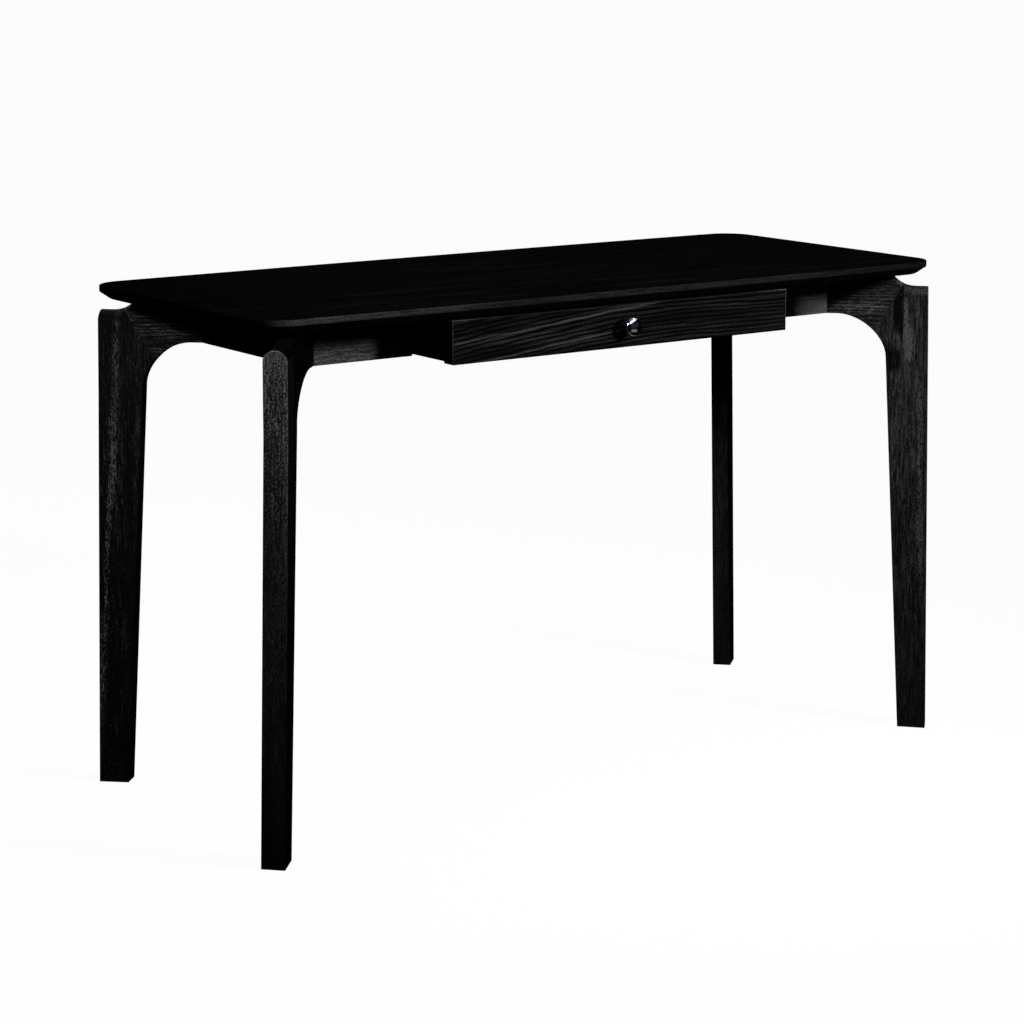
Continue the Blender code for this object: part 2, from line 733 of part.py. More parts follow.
def build_top_fixings(root, rails, top):
    """Clips hooked into slots in the rails, each with a screw up into the top."""
    clip = clip_mesh("top_clip")
    clip_hole = bar_mesh("clip_hole", SCREW_RADIUS + SCREW_HOLE_CLEAR, -CLIP_REACH, CLIP_REACH)
    screw = screw_mesh("top_screw")
    pilot = bar_mesh("pilot", SCREW_RADIUS + GAP, -CLIP_STEP, SCREW_LENGTH + 3 * GAP)
    slot = box_mesh(
        "slot",
        (-CLIP_SLOT_DEPTH, -CLIP_SLOT_HALF, CLIP_SLOT_Z - GAP),
        (CLIP_STEP, CLIP_SLOT_HALF, CLIP_SLOT_Z + CLIP_SHEET + GAP),
    )
    inner_x = RAIL_X - RAIL_THICKNESS
    inner_y = RAIL_Y - RAIL_THICKNESS
    spots = (
        ("front_left", -CLIP_ALONG, -inner_y, math.pi / 2),
        ("front_right", CLIP_ALONG, -inner_y, math.pi / 2),
        ("rear", -CLIP_ALONG, inner_y, -math.pi / 2),
        ("rear", CLIP_ALONG, inner_y, -math.pi / 2),
        ("side_left", -inner_x, 0.0, 0.0),
        ("side_right", inner_x, 0.0, math.pi),
    )
    seat = TOP_UNDERSIDE - GAP - CLIP_SHEET
    for number, (rail, x, y, turn) in enumerate(spots, 1):
        place = Matrix.Translation((x, y, 0)) @ Matrix.Rotation(turn, 4, "Z")
        clip_object = add_part(f"top_clip_{number}", clip, "steel", root)
        clip_object.matrix_local = place
        cut(clip_object, clip_hole, Matrix.Translation((SCREW_X, 0, seat)))
        cut(rails[rail], slot, place)
        screw_place = place @ Matrix.Translation((SCREW_X, 0, seat - GAP))
        screw_object = add_part(f"top_screw_{number}", screw, "steel", root)
        screw_object.matrix_local = screw_place
        cut(top, pilot, screw_place)


# ---------------------------------------------------------------- the drawer
def build_drawer(root):
    """The drawer box, its front, knob and screw, all under one empty that slides."""
    origin = Vector((0, SLIDE_FRONT_Y, SLIDE_Z))
    slide = add_empty("drawer_motion", origin, root)
    rear_of_front = FRONT_FACE_Y + FRONT_THICKNESS
    half = FRONT_WIDTH / 2
    inner = BOX_HALF_WIDTH - BOARD

    def drawer_part(name, mesh, finish):
        return add_part(name, mesh, finish, slide, -origin)

    front_low = (-half, FRONT_FACE_Y, FRONT_BOTTOM)
    front_high = (half, rear_of_front, FRONT_TOP)
    front = drawer_part("drawer_front", box_mesh("drawer_front", front_low, front_high), "front")
    groove_low = PANEL_BOTTOM - GAP
    groove_high = PANEL_BOTTOM + PANEL_THICKNESS + GAP
    groove_y = rear_of_front - GROOVE_DEPTH
    groove = box_mesh(
        "front_groove",
        (-inner - GROOVE_DEPTH, groove_y, groove_low),
        (inner + GROOVE_DEPTH, rear_of_front + GROOVE_DEPTH, groove_high),
    )
    cut(front, groove)
    bore_turn = Matrix.Rotation(math.pi / 2, 4, "X")
    knob_place = Matrix.Translation((0, FRONT_FACE_Y, KNOB_Z)) @ bore_turn
    bore = bar_mesh("screw_bore", KNOB_SCREW_BORE, -2 * FRONT_THICKNESS, FRONT_THICKNESS)
    cut(front, bore, knob_place)

    start_y = rear_of_front + GAP
    side_turn = Matrix.Translation((0, (start_y + BOX_REAR_Y) / 2, 0)) @ bore_turn
    for name, sx in SIDES.items():
        outer, face = sx * BOX_HALF_WIDTH, sx * inner
        hollow = sx * (inner + GROOVE_DEPTH)
        points = [
            (outer, BOX_BOTTOM),
            (outer, BOX_TOP),
            (face, BOX_TOP),
            (face, groove_high),
            (hollow, groove_high),
            (hollow, groove_low),
            (face, groove_low),
            (face, BOX_BOTTOM),
        ]
        mesh = outline_mesh(f"drawer_side_{name}", points, BOX_REAR_Y - start_y, side_turn)
        drawer_part(f"drawer_side_{name}", mesh, "box")

    back_low = (-inner + GAP, BOX_REAR_Y - BOARD, groove_high)
    back_high = (inner - GAP, BOX_REAR_Y, BOX_TOP)
    drawer_part("drawer_back", box_mesh("drawer_back", back_low, back_high), "box")

    edge = inner + GROOVE_DEPTH - GAP
    panel_low = (-edge, groove_y + GAP, PANEL_BOTTOM)
    panel_high = (edge, BOX_REAR_Y, PANEL_BOTTOM + PANEL_THICKNESS)
    drawer_part("drawer_bottom", box_mesh("drawer_bottom", panel_low, panel_high), "box")

    knob = drawer_part("knob", knob_mesh("knob"), "chrome")
    knob.matrix_local = Matrix.Translation(-origin) @ knob_place
    screw = drawer_part("knob_screw", knob_screw_mesh("knob_screw"), "steel")
    screw.matrix_local = Matrix.Translation(-origin) @ knob_place
    return slide


def knob_mesh(name):
    """A short cylinder with a softly domed face and a narrower seat, along Z from z = GAP."""
    steps = 3
    flat = KNOB_RADIUS - KNOB_EDGE
    profile = [(0.0, KNOB_LENGTH)]
    for i in range(1, steps + 1):
        profile.append((flat * i / steps, KNOB_LENGTH - KNOB_DOME * (i / steps) ** 2))
    for i in range(1, steps + 1):
        angle = math.pi / 2 * (1 - i / steps)
        height = KNOB_LENGTH - KNOB_DOME - KNOB_EDGE * (1 - math.sin(angle))
        profile.append((flat + KNOB_EDGE * math.cos(angle), height))
    bore, depth = KNOB_BORE
    profile += [*KNOB_WAIST, (bore, GAP), (bore, depth), (0.0, depth)]
    return turned_mesh(name, profile, 2 * ROUND_STEPS)


def knob_screw_mesh(name):
    """The machine screw that holds the knob from inside the drawer, along Z."""
    seat = -(FRONT_THICKNESS + GAP)
    shank = ((0.0, KNOB_SCREW_TIP), (KNOB_SCREW_RADIUS, KNOB_SCREW_TIP), (KNOB_SCREW_RADIUS, seat))
    return turned_mesh(name, (*shank, *pan_head(seat)), HOLE_STEPS)


# ---------------------------------------------------------------- telescopic slides
def channel_mesh(name, web_x, lip_x, height):
    """A steel channel along Y: web at web_x, flanges reaching to lip_x."""
    inward = 1 if lip_x > web_x else -1
    half = height / 2
    points = [
        (web_x, -half),
        (lip_x, -half),
        (lip_x, -half + SHEET),
        (web_x + inward * SHEET, -half + SHEET),
        (web_x + inward * SHEET, half - SHEET),
        (lip_x, half - SHEET),
        (lip_x, half),
        (web_x, half),
    ]
    stand = Matrix.Translation((0, SLIDE_LENGTH / 2, 0)) @ Matrix.Rotation(math.pi / 2, 4, "X")
    return outline_mesh(name, points, SLIDE_LENGTH, stand)


def build_slides(root, drawer):
    """Cabinet, middle and drawer members on each side of the drawer."""
    location = (0, SLIDE_FRONT_Y, SLIDE_Z)
    middle_motion = add_empty("slide_middle_motion", location, root)
    nest = SHEET + SLIDE_CLEAR
    cabinet_web = CARRIER_X - GAP
    middle_web = cabinet_web - nest
    drawer_web = BOX_HALF_WIDTH + GAP
    lip = drawer_web + nest
    for name, sx in SIDES.items():
        cabinet = channel_mesh("cabinet_member", sx * cabinet_web, sx * lip, SLIDE_HEIGHT)
        add_part(f"slide_cabinet_{name}", cabinet, "slide", root, location)
        middle = channel_mesh("middle_member", sx * middle_web, sx * lip, SLIDE_HEIGHT - 2 * nest)
        add_part(f"slide_middle_{name}", middle, "slide", middle_motion)
        inner_lip = sx * (middle_web - nest)
        inner = channel_mesh("drawer_member", sx * drawer_web, inner_lip, SLIDE_HEIGHT - 4 * nest)
        add_part(f"slide_drawer_{name}", inner, "slide", drawer)


# ---------------------------------------------------------------- assembly
def build_table():
    root = add_empty("console_table", (0, CENTRE_SHIFT_Y, 0))
    top = build_top(root)
    build_corners(root)
    rails = build_rails(root)
    build_top_fixings(root, rails, top)
    drawer = build_drawer(root)
    build_slides(root, drawer)


build_table()
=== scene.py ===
"""The console table's looks: fine meshes, black-stained oak, and a plain pale studio."""

import json
import math

import bmesh
import bpy
from mathutils import Matrix, Vector


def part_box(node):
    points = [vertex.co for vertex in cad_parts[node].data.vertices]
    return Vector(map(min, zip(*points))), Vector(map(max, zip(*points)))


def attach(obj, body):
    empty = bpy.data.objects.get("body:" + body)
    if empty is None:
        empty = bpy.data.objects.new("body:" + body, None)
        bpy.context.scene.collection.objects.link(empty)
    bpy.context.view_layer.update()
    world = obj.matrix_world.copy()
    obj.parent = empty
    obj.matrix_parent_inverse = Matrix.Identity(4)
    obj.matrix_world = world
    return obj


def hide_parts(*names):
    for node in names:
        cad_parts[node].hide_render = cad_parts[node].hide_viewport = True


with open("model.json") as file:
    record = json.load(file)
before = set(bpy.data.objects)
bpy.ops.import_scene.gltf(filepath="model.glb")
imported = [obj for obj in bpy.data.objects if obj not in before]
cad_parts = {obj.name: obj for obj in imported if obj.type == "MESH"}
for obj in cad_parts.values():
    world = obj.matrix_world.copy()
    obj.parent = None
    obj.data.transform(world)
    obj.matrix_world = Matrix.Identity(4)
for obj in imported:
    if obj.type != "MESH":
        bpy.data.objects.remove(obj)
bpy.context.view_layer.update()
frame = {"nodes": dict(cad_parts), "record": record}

# ---------------------------------------------------------------- sizes, in metres
# Read from the frame
TOP_LOW, TOP_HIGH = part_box("tabletop")
MIDDLE_Y = (TOP_LOW.y + TOP_HIGH.y) / 2
UNDERSIDE = TOP_LOW.z
TOP_LENGTH = TOP_HIGH.x - TOP_LOW.x
TOP_DEPTH = TOP_HIGH.y - TOP_LOW.y

# The top's outline and edge
TOP_BOW = 0.006
TOP_CORNER_RADIUS = 0.050
TOP_ARRIS = 0.0015
TOP_EDGE_BAND = 0.009
TOP_BAND_EASE = (0.0004, 0.0006)
TOP_BEVEL_END = (0.012, 0.0175)
TOP_BEVEL_EASE = 0.0175
TOP_BEVEL_DEPTH = 0.026
LIPPING_FACING_Y = 0.4
LIPPING_FACING_Z = (-0.1, 0.85)
TOP_EDGE_STEPS = 40
TOP_CORNER_STEPS = 20
TOP_ARRIS_STEPS = 4
TOP_BEVEL_STEPS = 8

# Legs and arms: X runs inwards along the diagonal from the leg's outer face at LEG_DATUM_Z
LEG_X = 0.5951
LEG_Y = 0.2543
LEG_DATUM_Z = 0.700
LEG_LEAN_ALONG = 0.0122
LEG_LEAN_ACROSS = 0.0100
LEG_THICKNESS = 0.0345
LEG_INNER_THICKNESS_FOOT = 0.0300
LEG_WIDTH_FOOT = 0.0445
LEG_WIDTH_TOP = 0.0658
LEG_TOP_Z = 0.7205
LEG_FOOT_Z = 0.0008
LEG_CURVE_START_Z = 0.606
LEG_CREASE = 0.0385
LEG_CREASE_RUN = 0.015
SHORTEST_CREASE = 0.0005
LEG_CREASE_FADE_Z = (0.600, 0.650)
SADDLE_START = 0.020
SADDLE_END = 0.0605
SADDLE_RADIUS = 0.045
ARCH_RADIUS = 0.018
ARM_THICKNESS = 0.026
ARM_END = 0.190
ARM_UNDERSIDE = 0.6755
ARM_CURVE_END = 0.142
BRACKET_RISE = (0.0005, 0.036)
BRACKET_RUN = 0.036
MITRE_TOP = 0.037
MITRE_FOOT_Z = 0.650
GAP = 0.0003
CORNERS = {
    "front_left": (-1, -1),
    "front_right": (1, -1),
    "rear_left": (-1, 1),
    "rear_right": (1, 1),
}

# How finely the legs and arms are divided: heights in three stretches, and distances inwards
STRAIGHT_LEVELS = (LEG_FOOT_Z, 0.585, 24)
CURVED_LEVELS = (0.600, MITRE_FOOT_Z, 9)
MITRE_LEVELS = (0.657, 0.702, 7)
LEG_OUTER_STEPS = 5
LEG_HOLLOW_STEPS = 4
LEG_FLAT_STEPS = 3
LEG_NARROWEST = (0.0050, 0.0018)
CURVE_STEPS = 96
ARM_CURVE_STRIDE = 3
ARM_FIRST_RISE = 0.0008
ARM_CROWDING = 0.8
ARM_LEVEL_STATIONS = (0.158, 0.174, ARM_END)
ARM_ROWS = 7
ACROSS_STEPS = 13
SETTLING_STEPS = 10

# The knob, about its own axis: (radius, distance from the drawer front) down the flared neck
KNOB_RADIUS = 0.014
KNOB_LIP = 0.0022
KNOB_DOME = 0.0012
KNOB_BORE = (0.0022, 0.0120)
KNOB_NECK = (
    (0.0140, 0.0075),
    (0.0137, 0.0060),
    (0.0128, 0.0042),
    (0.0117, 0.0026),
    (0.0108, 0.0010),
    (0.0105, 0.0),
)
KNOB_ARC_STEPS = 8
KNOB_TURN_STEPS = 72

# Rounding of edges. FINE_EDGE, CROWN_EDGE and MITRE_EDGE are shares of EDGE_ROUND
EDGE_ROUND = 0.0040
EDGE_ROUND_STEPS = 4
FINE_EDGE = 0.30
CROWN_EDGE = 0.60
MITRE_EDGE = 0.06
BOARD_ARRIS = 0.0007
DRAWER_FRONT_ARRIS = 0.0009
PLY_ARRIS = 0.0005
TENON_ARRIS = 0.0004
METAL_ARRIS = 0.0003
SHARP_ANGLE = math.radians(32)
BEVEL_ANGLE = math.radians(35)

# Making the frame's flat faces whole again, and how many clips hold the top
MERGE_DISTANCE = 0.00002
FLAT_ANGLE = math.radians(0.5)
CLIP_COUNT = 6

# ---------------------------------------------------------------- grain of each board, and painted light and shade
# Directions of the grain: the turn that brings it onto X
ALONG_X = (0, 0, 0)
ALONG_Y = (0, 0, math.radians(90))
ALONG_Z = (0, math.radians(90), 0)

# Stain in the dark of the grain, its tint where it is thin, and the roughness of the dark
INK = (0.0006, 0.0006, 0.0006)
TINT = (1.0, 0.985, 0.97)
DULL = 0.95
BRIGHTEST = 1.3

# Noise that makes the grain: how often it changes along and across, per metre
BENDS = (3.0, 14.0)
LINE_WIDTHS = (7.0, 110.0)
PATCHES = (4.0, 40.0)
PORES = (90.0, 2100.0)
FIBRES = (30.0, 420.0)
FLECKS = (220.0, 450.0)
RAGGED_EDGES = (12.0, 60.0)
SEED_SHIFT = (1.7, 0.9, 0.4)
BEND_REACH = 0.022
RAGGED_REACH = 0.010
LINE_TURN = 0.9
UNEVENNESS = 5.0
CONTRAST = 5.0
LINE_DEPTH = (3.0, -0.5)
PORE_STOPS = ((0.30, 1.0), (0.42, 0.0))
PORE_DEPTH = 0.15
GRAIN_HEIGHT = 0.0006

# Where in the noise each board is cut. Boards of one kind follow each other by 1
SEEDS = {
    "tabletop": 3.0,
    "lipping": 4.0,
    "underside": 7.0,
    "leg": 5.0,
    "arm": 11.0,
    "crown": 19.0,
    "rail": 21.0,
    "block": 31.0,
    "drawer_front": 41.0,
}

# A streak is (axes, slope, centre, width, start, end, strength): a run of grain, or a painted
# highlight or shadow. A shade is (distance, factor) stops of painted light and shade along an axis
# VENEER_SHADE is painted shade on the top, darker towards its ends, most of all on the right
VENEER_SHADE = ((-0.615, 0.7), (-0.40, 0.9), (0.0, 1.0), (0.25, 0.8), (0.615, 0.4))
# LIPPING_SHADE is painted light and shade along the front edge: bright towards the left, dark towards
# the right end
LIPPING_SHADE = (
    (-0.615, 1.6),
    (-0.560, 2.7),
    (-0.530, 2.4),
    (-0.470, 1.9),
    (-0.380, 1.75),
    (-0.310, 1.3),
    (-0.260, 0.80),
    (-0.200, 0.54),
    (-0.130, 0.62),
    (-0.060, 0.85),
    (0.060, 0.60),
    (0.150, 0.76),
    (0.290, 0.60),
    (0.370, 0.42),
    (0.450, 0.30),
    (0.560, 0.22),
    (0.615, 0.08),
)
VENEER = {
    "light": 0.0075,
    "lines": 0.35,
    "line_width": 0.030,
    "fibre": 0.55,
    "fibre_size": (8.0, 160.0),
    "fleck": 0.0,
    "broad": 0.5,
    "power": 1.6,
    "roughness": 0.50,
    "gloss": 0.04,
    "relief": 0.15,
    "shade": ("X", VENEER_SHADE),
}
LIPPING = {
    "light": 0.042,
    "lines": 0.1,
    "fibre": 0.20,
    "fleck": 0.15,
    "broad": 0.12,
    "lift": 0.62,
    "power": 1.5,
    "gloss": 0.06,
    "shade": ("X", LIPPING_SHADE),
}
# A near-black oak for the top's underside and its lower bevel: painted shade under the top
TOP_UNDERSIDE_SHADE = {
    "light": 0.004,
    "lines": 0.2,
    "fibre": 0.30,
    "fleck": 0.10,
    "broad": 0.2,
    "power": 1.6,
    "roughness": 0.60,
    "gloss": 0.04,
    "relief": 0.3,
}

# Every leg has LEG_GRAIN, and then its own light, streaks and change along its height. The change
# along the height is painted light and shade, and some streaks are painted highlights and shade
LEG_GRAIN = {"lines": 0.0, "fibre": 0.34, "broad": 0.20, "roughness": 0.42, "gloss": 0.08}
LEG_GRAINS = {
    "front_left": {
        "light": 0.034,
        "lift": 0.60,
        "fleck": 0.52,
        "fleck_size": (320.0, 500.0),
        "relief": 0.12,
        "streaks": (
            ("ZY", 0.0, 0.0150, 0.0085, -0.100, 0.640, -0.22),
            ("ZY", 0.0, -0.0165, 0.0030, -0.400, 0.690, 0.35),
        ),
        "shade": (
            "Z",
            (
                (0.0, 0.17),
                (0.20, 0.22),
                (0.40, 0.30),
                (0.45, 0.38),
                (0.52, 0.66),
                (0.60, 0.98),
                (0.72, 0.90),
            ),
        ),
    },
    "front_right": {
        "light": 0.034,
        "lift": 0.56,
        "fleck": 0.22,
        "streaks": (
            # Painted highlights on the bright wedge by the crease and on the shoulder, a brighter run
            # lower down, then painted shade on the facet in the hollow beyond the crease
            ("ZX", 0.06, -0.0068, 0.0090, 0.598, 0.708, 0.52),
            ("ZX", 0.0, 0.0265, 0.0090, 0.602, 0.660, 0.50),
            ("XZ", 0.0, 0.7155, 0.0065, -0.020, 0.045, 0.50),
            ("ZX", 0.03, -0.006, 0.006, 0.200, 0.600, 0.32),
            ("ZX", 0.0, 0.0450, 0.0085, 0.640, 0.750, -0.90),
            ("ZX", 0.0, 0.0510, 0.0140, 0.584, 0.622, -0.45),
        ),
        "shade": (
            "Z",
            (
                (0.0, 0.42),
                (0.11, 0.45),
                (0.17, 0.62),
                (0.25, 0.95),
                (0.40, 1.05),
                (0.47, 1.20),
                (0.55, 1.05),
                (0.72, 1.05),
            ),
        ),
    },
    "rear_left": {
        "light": 0.034,
        "lift": 0.36,
        "fleck": 0.28,
        "power": 3.0,
        "streaks": (("ZX", 0.061, -0.0138, 0.0065, 0.050, 0.950, 0.50),),
        "shade": (
            "Z",
            (
                (0.0, 1.0),
                (0.30, 1.1),
                (0.42, 1.0),
                (0.50, 0.75),
                (0.60, 0.48),
                (0.700, 0.44),
                (0.709, 0.16),
                (0.72, 0.12),
            ),
        ),
    },
    "rear_right": {
        "light": 0.011,
        "fleck": 0.20,
        "shade": (
            "Z",
            (
                (0.0, 0.6),
                (0.13, 0.6),
                (0.18, 0.9),
                (0.35, 1.1),
                (0.50, 0.9),
                (0.72, 0.9),
            ),
        ),
    },
}

# Painted highlight on the rounded edges: its grey, and how fast it fades away from the crown
LEG_EDGE_HIGHLIGHTS = {
    "front_left": (0.085, 1.5),
    "front_right": (0.085, 4.0),
    "rear_left": (0.035, 4.0),
    "rear_right": (0.020, 4.0),
}
# The front left crown's near-black oak: painted shade on the upward faces under the top
CROWN_SHADE_GRAIN = {
    "light": 0.0012,
    "lines": 0.0,
    "fibre": 0.2,
    "fleck": 0.4,
    "fleck_size": (400.0, 500.0),
    "gloss": 0.04,
}
CROWN_SLOPE = 0.12

# Every arm has ARM_GRAIN. Two of them have the top's shadow painted on in a slanting line towards the
# top, and the front right one a painted glint on its saddle
ARM_GRAIN = {
    "lines": 0.35,
    "line_width": 0.0050,
    "fibre": 0.34,
    "fibre_size": (55.0, 480.0),
    "fleck": 0.16,
    "broad": 0.25,
    "lift": 0.44,
    "roughness": 0.42,
    "gloss": 0.08,
}
ARM_GRAINS = {
    "front_left": {"light": 0.008},
    "front_right": {
        "light": 0.042,
        "streaks": (
            # The top's painted shadow, a brighter band low down, and a painted glint along the
            # saddle's edge
            ("XZ", -0.53, 0.8256, 0.060, -0.020, 0.300, -2.2),
            ("XZ", 0.0, 0.6870, 0.0100, 0.060, 0.150, 0.20),
            ("XZ", 0.87, 0.6860, 0.0050, 0.040, 0.062, 0.70),
        ),
    },
    "rear_left": {
        "light": 0.034,
        "power": 3.4,
        # The top's painted shadow
        "streaks": (("XZ", -0.375, 0.798, 0.060, -0.020, 0.300, -2.2),),
    },
    "rear_right": {"light": 0.024},
}

RAIL_GRAIN = {
    "lines": 0.1,
    "line_width": 0.012,
    "fibre": 0.15,
    "fleck": 0.08,
    "broad": 0.15,
    "lift": 0.65,
    "power": 1.5,
    "gloss": 0.08,
}
# LEFT_RAIL_SHADE is the top's shadow painted on the front left rail, dark above and bright low down
LEFT_RAIL_SHADE = (
    (-0.032, 1.75),
    (-0.017, 1.25),
    (-0.008, 0.75),
    (-0.002, 0.28),
    (0.006, 0.05),
    (0.032, 0.02),
)
# The rails' greys follow how each is lit: the bright front right rail is painted light, the dark left
# side rail painted shade
RAIL_GRAINS = {
    "front_rail_left": {
        "turn": ALONG_X,
        "light": 0.085,
        "lines": 0.28,
        "line_width": 0.0055,
        "fibre": 0.32,
        "fibre_size": (60.0, 400.0),
        "fleck": 0.28,
        "shade": ("Z", LEFT_RAIL_SHADE),
    },
    "front_rail_right": {"turn": ALONG_X, "light": 0.260},
    "rear_rail": {"turn": ALONG_X, "light": 0.040},
    "side_rail_left": {"turn": ALONG_Y, "light": 0.010},
    "side_rail_right": {"turn": ALONG_Y, "light": 0.030},
    "drawer_carrier_left": {"turn": ALONG_Y, "light": 0.030},
    "drawer_carrier_right": {"turn": ALONG_Y, "light": 0.030},
}
BLOCK_GRAIN = {"light": 0.030, "gloss": 0.2}

DRAWER_GRAIN = {
    "light": 0.036,
    "lines": 0.62,
    "line_width": 0.0058,
    "line_power": 3.0,
    "fibre": 0.17,
    "fibre_size": (9.0, 330.0),
    "fleck": 0.10,
    "broad": 0.26,
    "lift": 0.36,
    "power": 2.4,
    "gloss": 0.04,
    "relief": 0.7,
    "sweep": (0.030, -0.3055, 0.120),
    "streaks": (
        ("XZ", 0.088, 0.0247, 0.0022, -0.360, 0.100, 0.75),
        ("XZ", 0.088, 0.0262, 0.0050, -0.130, 0.070, 0.45),
        ("XZ", 0.095, -0.0058, 0.0020, -0.330, 0.020, 0.70),
        ("XZ", 0.030, -0.0090, 0.0014, -0.020, 0.180, 0.50),
    ),
    "streak_grit": 1.2,
    # painted light, brighter towards the left end of the drawer front
    "shade": ("X", ((-0.31, 1.05), (-0.10, 1.0), (0.05, 0.80), (0.31, 0.85))),
}
DRAWER_FRONT_WIDTH = 0.611
# Painted highlight on the drawer front's rounded edges: its grey, and how fast it grows towards the
# ends
DRAWER_EDGE_HIGHLIGHT = (0.250, 9.0)

# ---------------------------------------------------------------- studio
CAMERA_PLACE = (-2.4185, -3.3964, 1.2668)
CAMERA_PITCH = 80.18
CAMERA_YAW = -35.12
CAMERA_LENS = 96.56
CAMERA_SENSOR = 36.0
CAMERA_SHIFT_Y = -0.0996
CAMERA_REACH = 200.0

# Lamps and cards: azimuth is to the right of the table's front, and angles are in degrees
LAMPS = {
    "left_key": {
        "azimuth": -46,
        "elevation": 19,
        "distance": 3.2,
        "centre": (0.0, 0.0, 0.72),
        "aim_height": 0.92,
        "size": 0.80,
        "cone": 46,
        "power": 520,
    },
    "right_key": {
        "azimuth": 33,
        "elevation": 18.5,
        "distance": 3.6,
        "centre": (0.0, -0.2, 0.72),
        "aim_height": 0.72,
        "size": 0.70,
        "cone": 50,
        "power": 420,
    },
    "rear_right": {"azimuth": 150, "elevation": 22, "power": 380},
    "rear_left": {"azimuth": -150, "elevation": 22, "power": 380},
    "far_side": {"azimuth": 78, "elevation": 20, "power": 260},
}
LEFT_LIT = ("leg_", "arm_", "foot_", "front_rail_right")
FAR_SIDE = ("leg_front_right", "arm_front_right", "arm_rear_right", "side_rail_right", "rear_rail")
CEILING_PLACE = (0.0, -0.2, 3.4)
CEILING_SIZE = (3.0, 2.0)
OVERHEAD_POWER = 10
SKY_POWER = 9
CARDS = {
    "cream_card": {
        "azimuth": 36,
        "elevation": -14.5,
        "size": (0.30, 0.09),
        "colour": (1.0, 0.88, 0.70),
        "glow": 0.20,
    },
    "blue_card": {
        "azimuth": 36,
        "elevation": -6,
        "size": (0.42, 0.17),
        "tilt": 12,
        "colour": (0.22, 0.38, 0.80),
        "glow": 0.05,
    },
    "white_card": {
        "azimuth": 33,
        "elevation": 2.5,
        "size": (0.46, 0.055),
        "tilt": 20,
        "colour": (1.0, 1.0, 1.0),
        "glow": 1.6,
    },
    "black_card": {
        "azimuth": 36,
        "elevation": -4,
        "distance": 1.5,
        "size": (1.60, 1.40),
        "colour": (0.0, 0.0, 0.0),
        "glow": 0.0,
    },
    "low_card": {
        "azimuth": 36,
        "elevation": -62,
        "distance": 0.7,
        "size": (1.20, 0.25),
        "colour": (1.0, 0.97, 0.92),
        "glow": 0.3,
    },
}
PALE = 0.97
DIM = 0.009
FLOOR_RADIUS = 120.0
FLOOR_STEPS = 64
FLOOR_GREY = 0.08


# ---------------------------------------------------------------- materials
class Tree:
    """A material's node tree, with short calls to add and link nodes."""

    def __init__(self, name):
        self.material = bpy.data.materials.new(name)
        self.material.use_nodes = True
        self.tree = self.material.node_tree
        self.shader = self.tree.nodes["Principled BSDF"]

    def put(self, socket, value):
        if isinstance(value, bpy.types.NodeSocket):
            self.tree.links.new(value, socket)
        else:
            socket.default_value = value

    def add(self, kind, settings=None, **inputs):
        node = self.tree.nodes.new(kind)
        for key, value in (settings or {}).items():
            setattr(node, key, value)
        for key, value in inputs.items():
            self.put(node.inputs[key.replace("_", " ")], value)
        return node

    def place(self):
        return self.add("ShaderNodeTexCoord").outputs["Object"]

    def axis(self, vector, name):
        return self.add("ShaderNodeSeparateXYZ", Vector=vector).outputs[name]

    def math(self, operation, *values):
        node = self.tree.nodes.new("ShaderNodeMath")
        node.operation = operation
        for socket, value in zip(node.inputs, values):
            self.put(socket, value)
        return node.outputs[0]

    def between(self, low, high, value):
        return self.math("MINIMUM", self.math("MAXIMUM", value, low), high)

    def centred(self, value):
        return self.math("SUBTRACT", value, 0.5)

    def stretched(self, vector, scale, offset=(0, 0, 0)):
        node = self.add("ShaderNodeMapping", Vector=vector, Scale=scale, Location=offset)
        return node.outputs["Vector"]

    def noise(self, vector, scale=1.0, detail=3.0, roughness=0.55):
        inputs = {"Scale": scale, "Detail": detail, "Roughness": roughness}
        return self.add("ShaderNodeTexNoise", Vector=vector, **inputs).outputs["Fac"]

    def grain_noise(self, along, size, offset=(0, 0, 0), detail=2.0):
        """Noise stretched along X; size is how often it changes along and across, per metre."""
        return self.noise(self.stretched(along, (size[0], size[1], size[1]), offset), detail=detail)

    def ramp(self, value, *stops):
        """A grey ramp from (position, grey) stops."""
        node = self.add("ShaderNodeValToRGB", Fac=value)
        elements = node.color_ramp.elements
        elements[0].position = stops[0][0]
        elements[1].position = stops[-1][0]
        for position, _ in stops[1:-1]:
            elements.new(position)
        for element, (_, grey) in zip(elements, stops):
            element.color = (grey, grey, grey, 1.0)
        return node.outputs["Color"]

    def mix(self, factor, first, second):
        node = self.add("ShaderNodeMix", {"data_type": "RGBA", "clamp_factor": False})
        self.put(node.inputs["Factor"], factor)
        self.put(node.inputs["A"], first)
        self.put(node.inputs["B"], second)
        return node.outputs["Result"]

    def stain(self, tone, light):
        """Black stain where tone is 0, and a slightly warm grey called light where it is 1."""
        return self.mix(tone, (*INK, 1.0), (*(light * part for part in TINT), 1.0))

    def bump(self, height, strength, distance):
        node = self.add("ShaderNodeBump", Height=height, Strength=strength, Distance=distance)
        return node.outputs["Normal"]

    def finish(self, **inputs):
        for key, value in inputs.items():
            self.put(self.shader.inputs[key.replace("_", " ")], value)
        return self.material


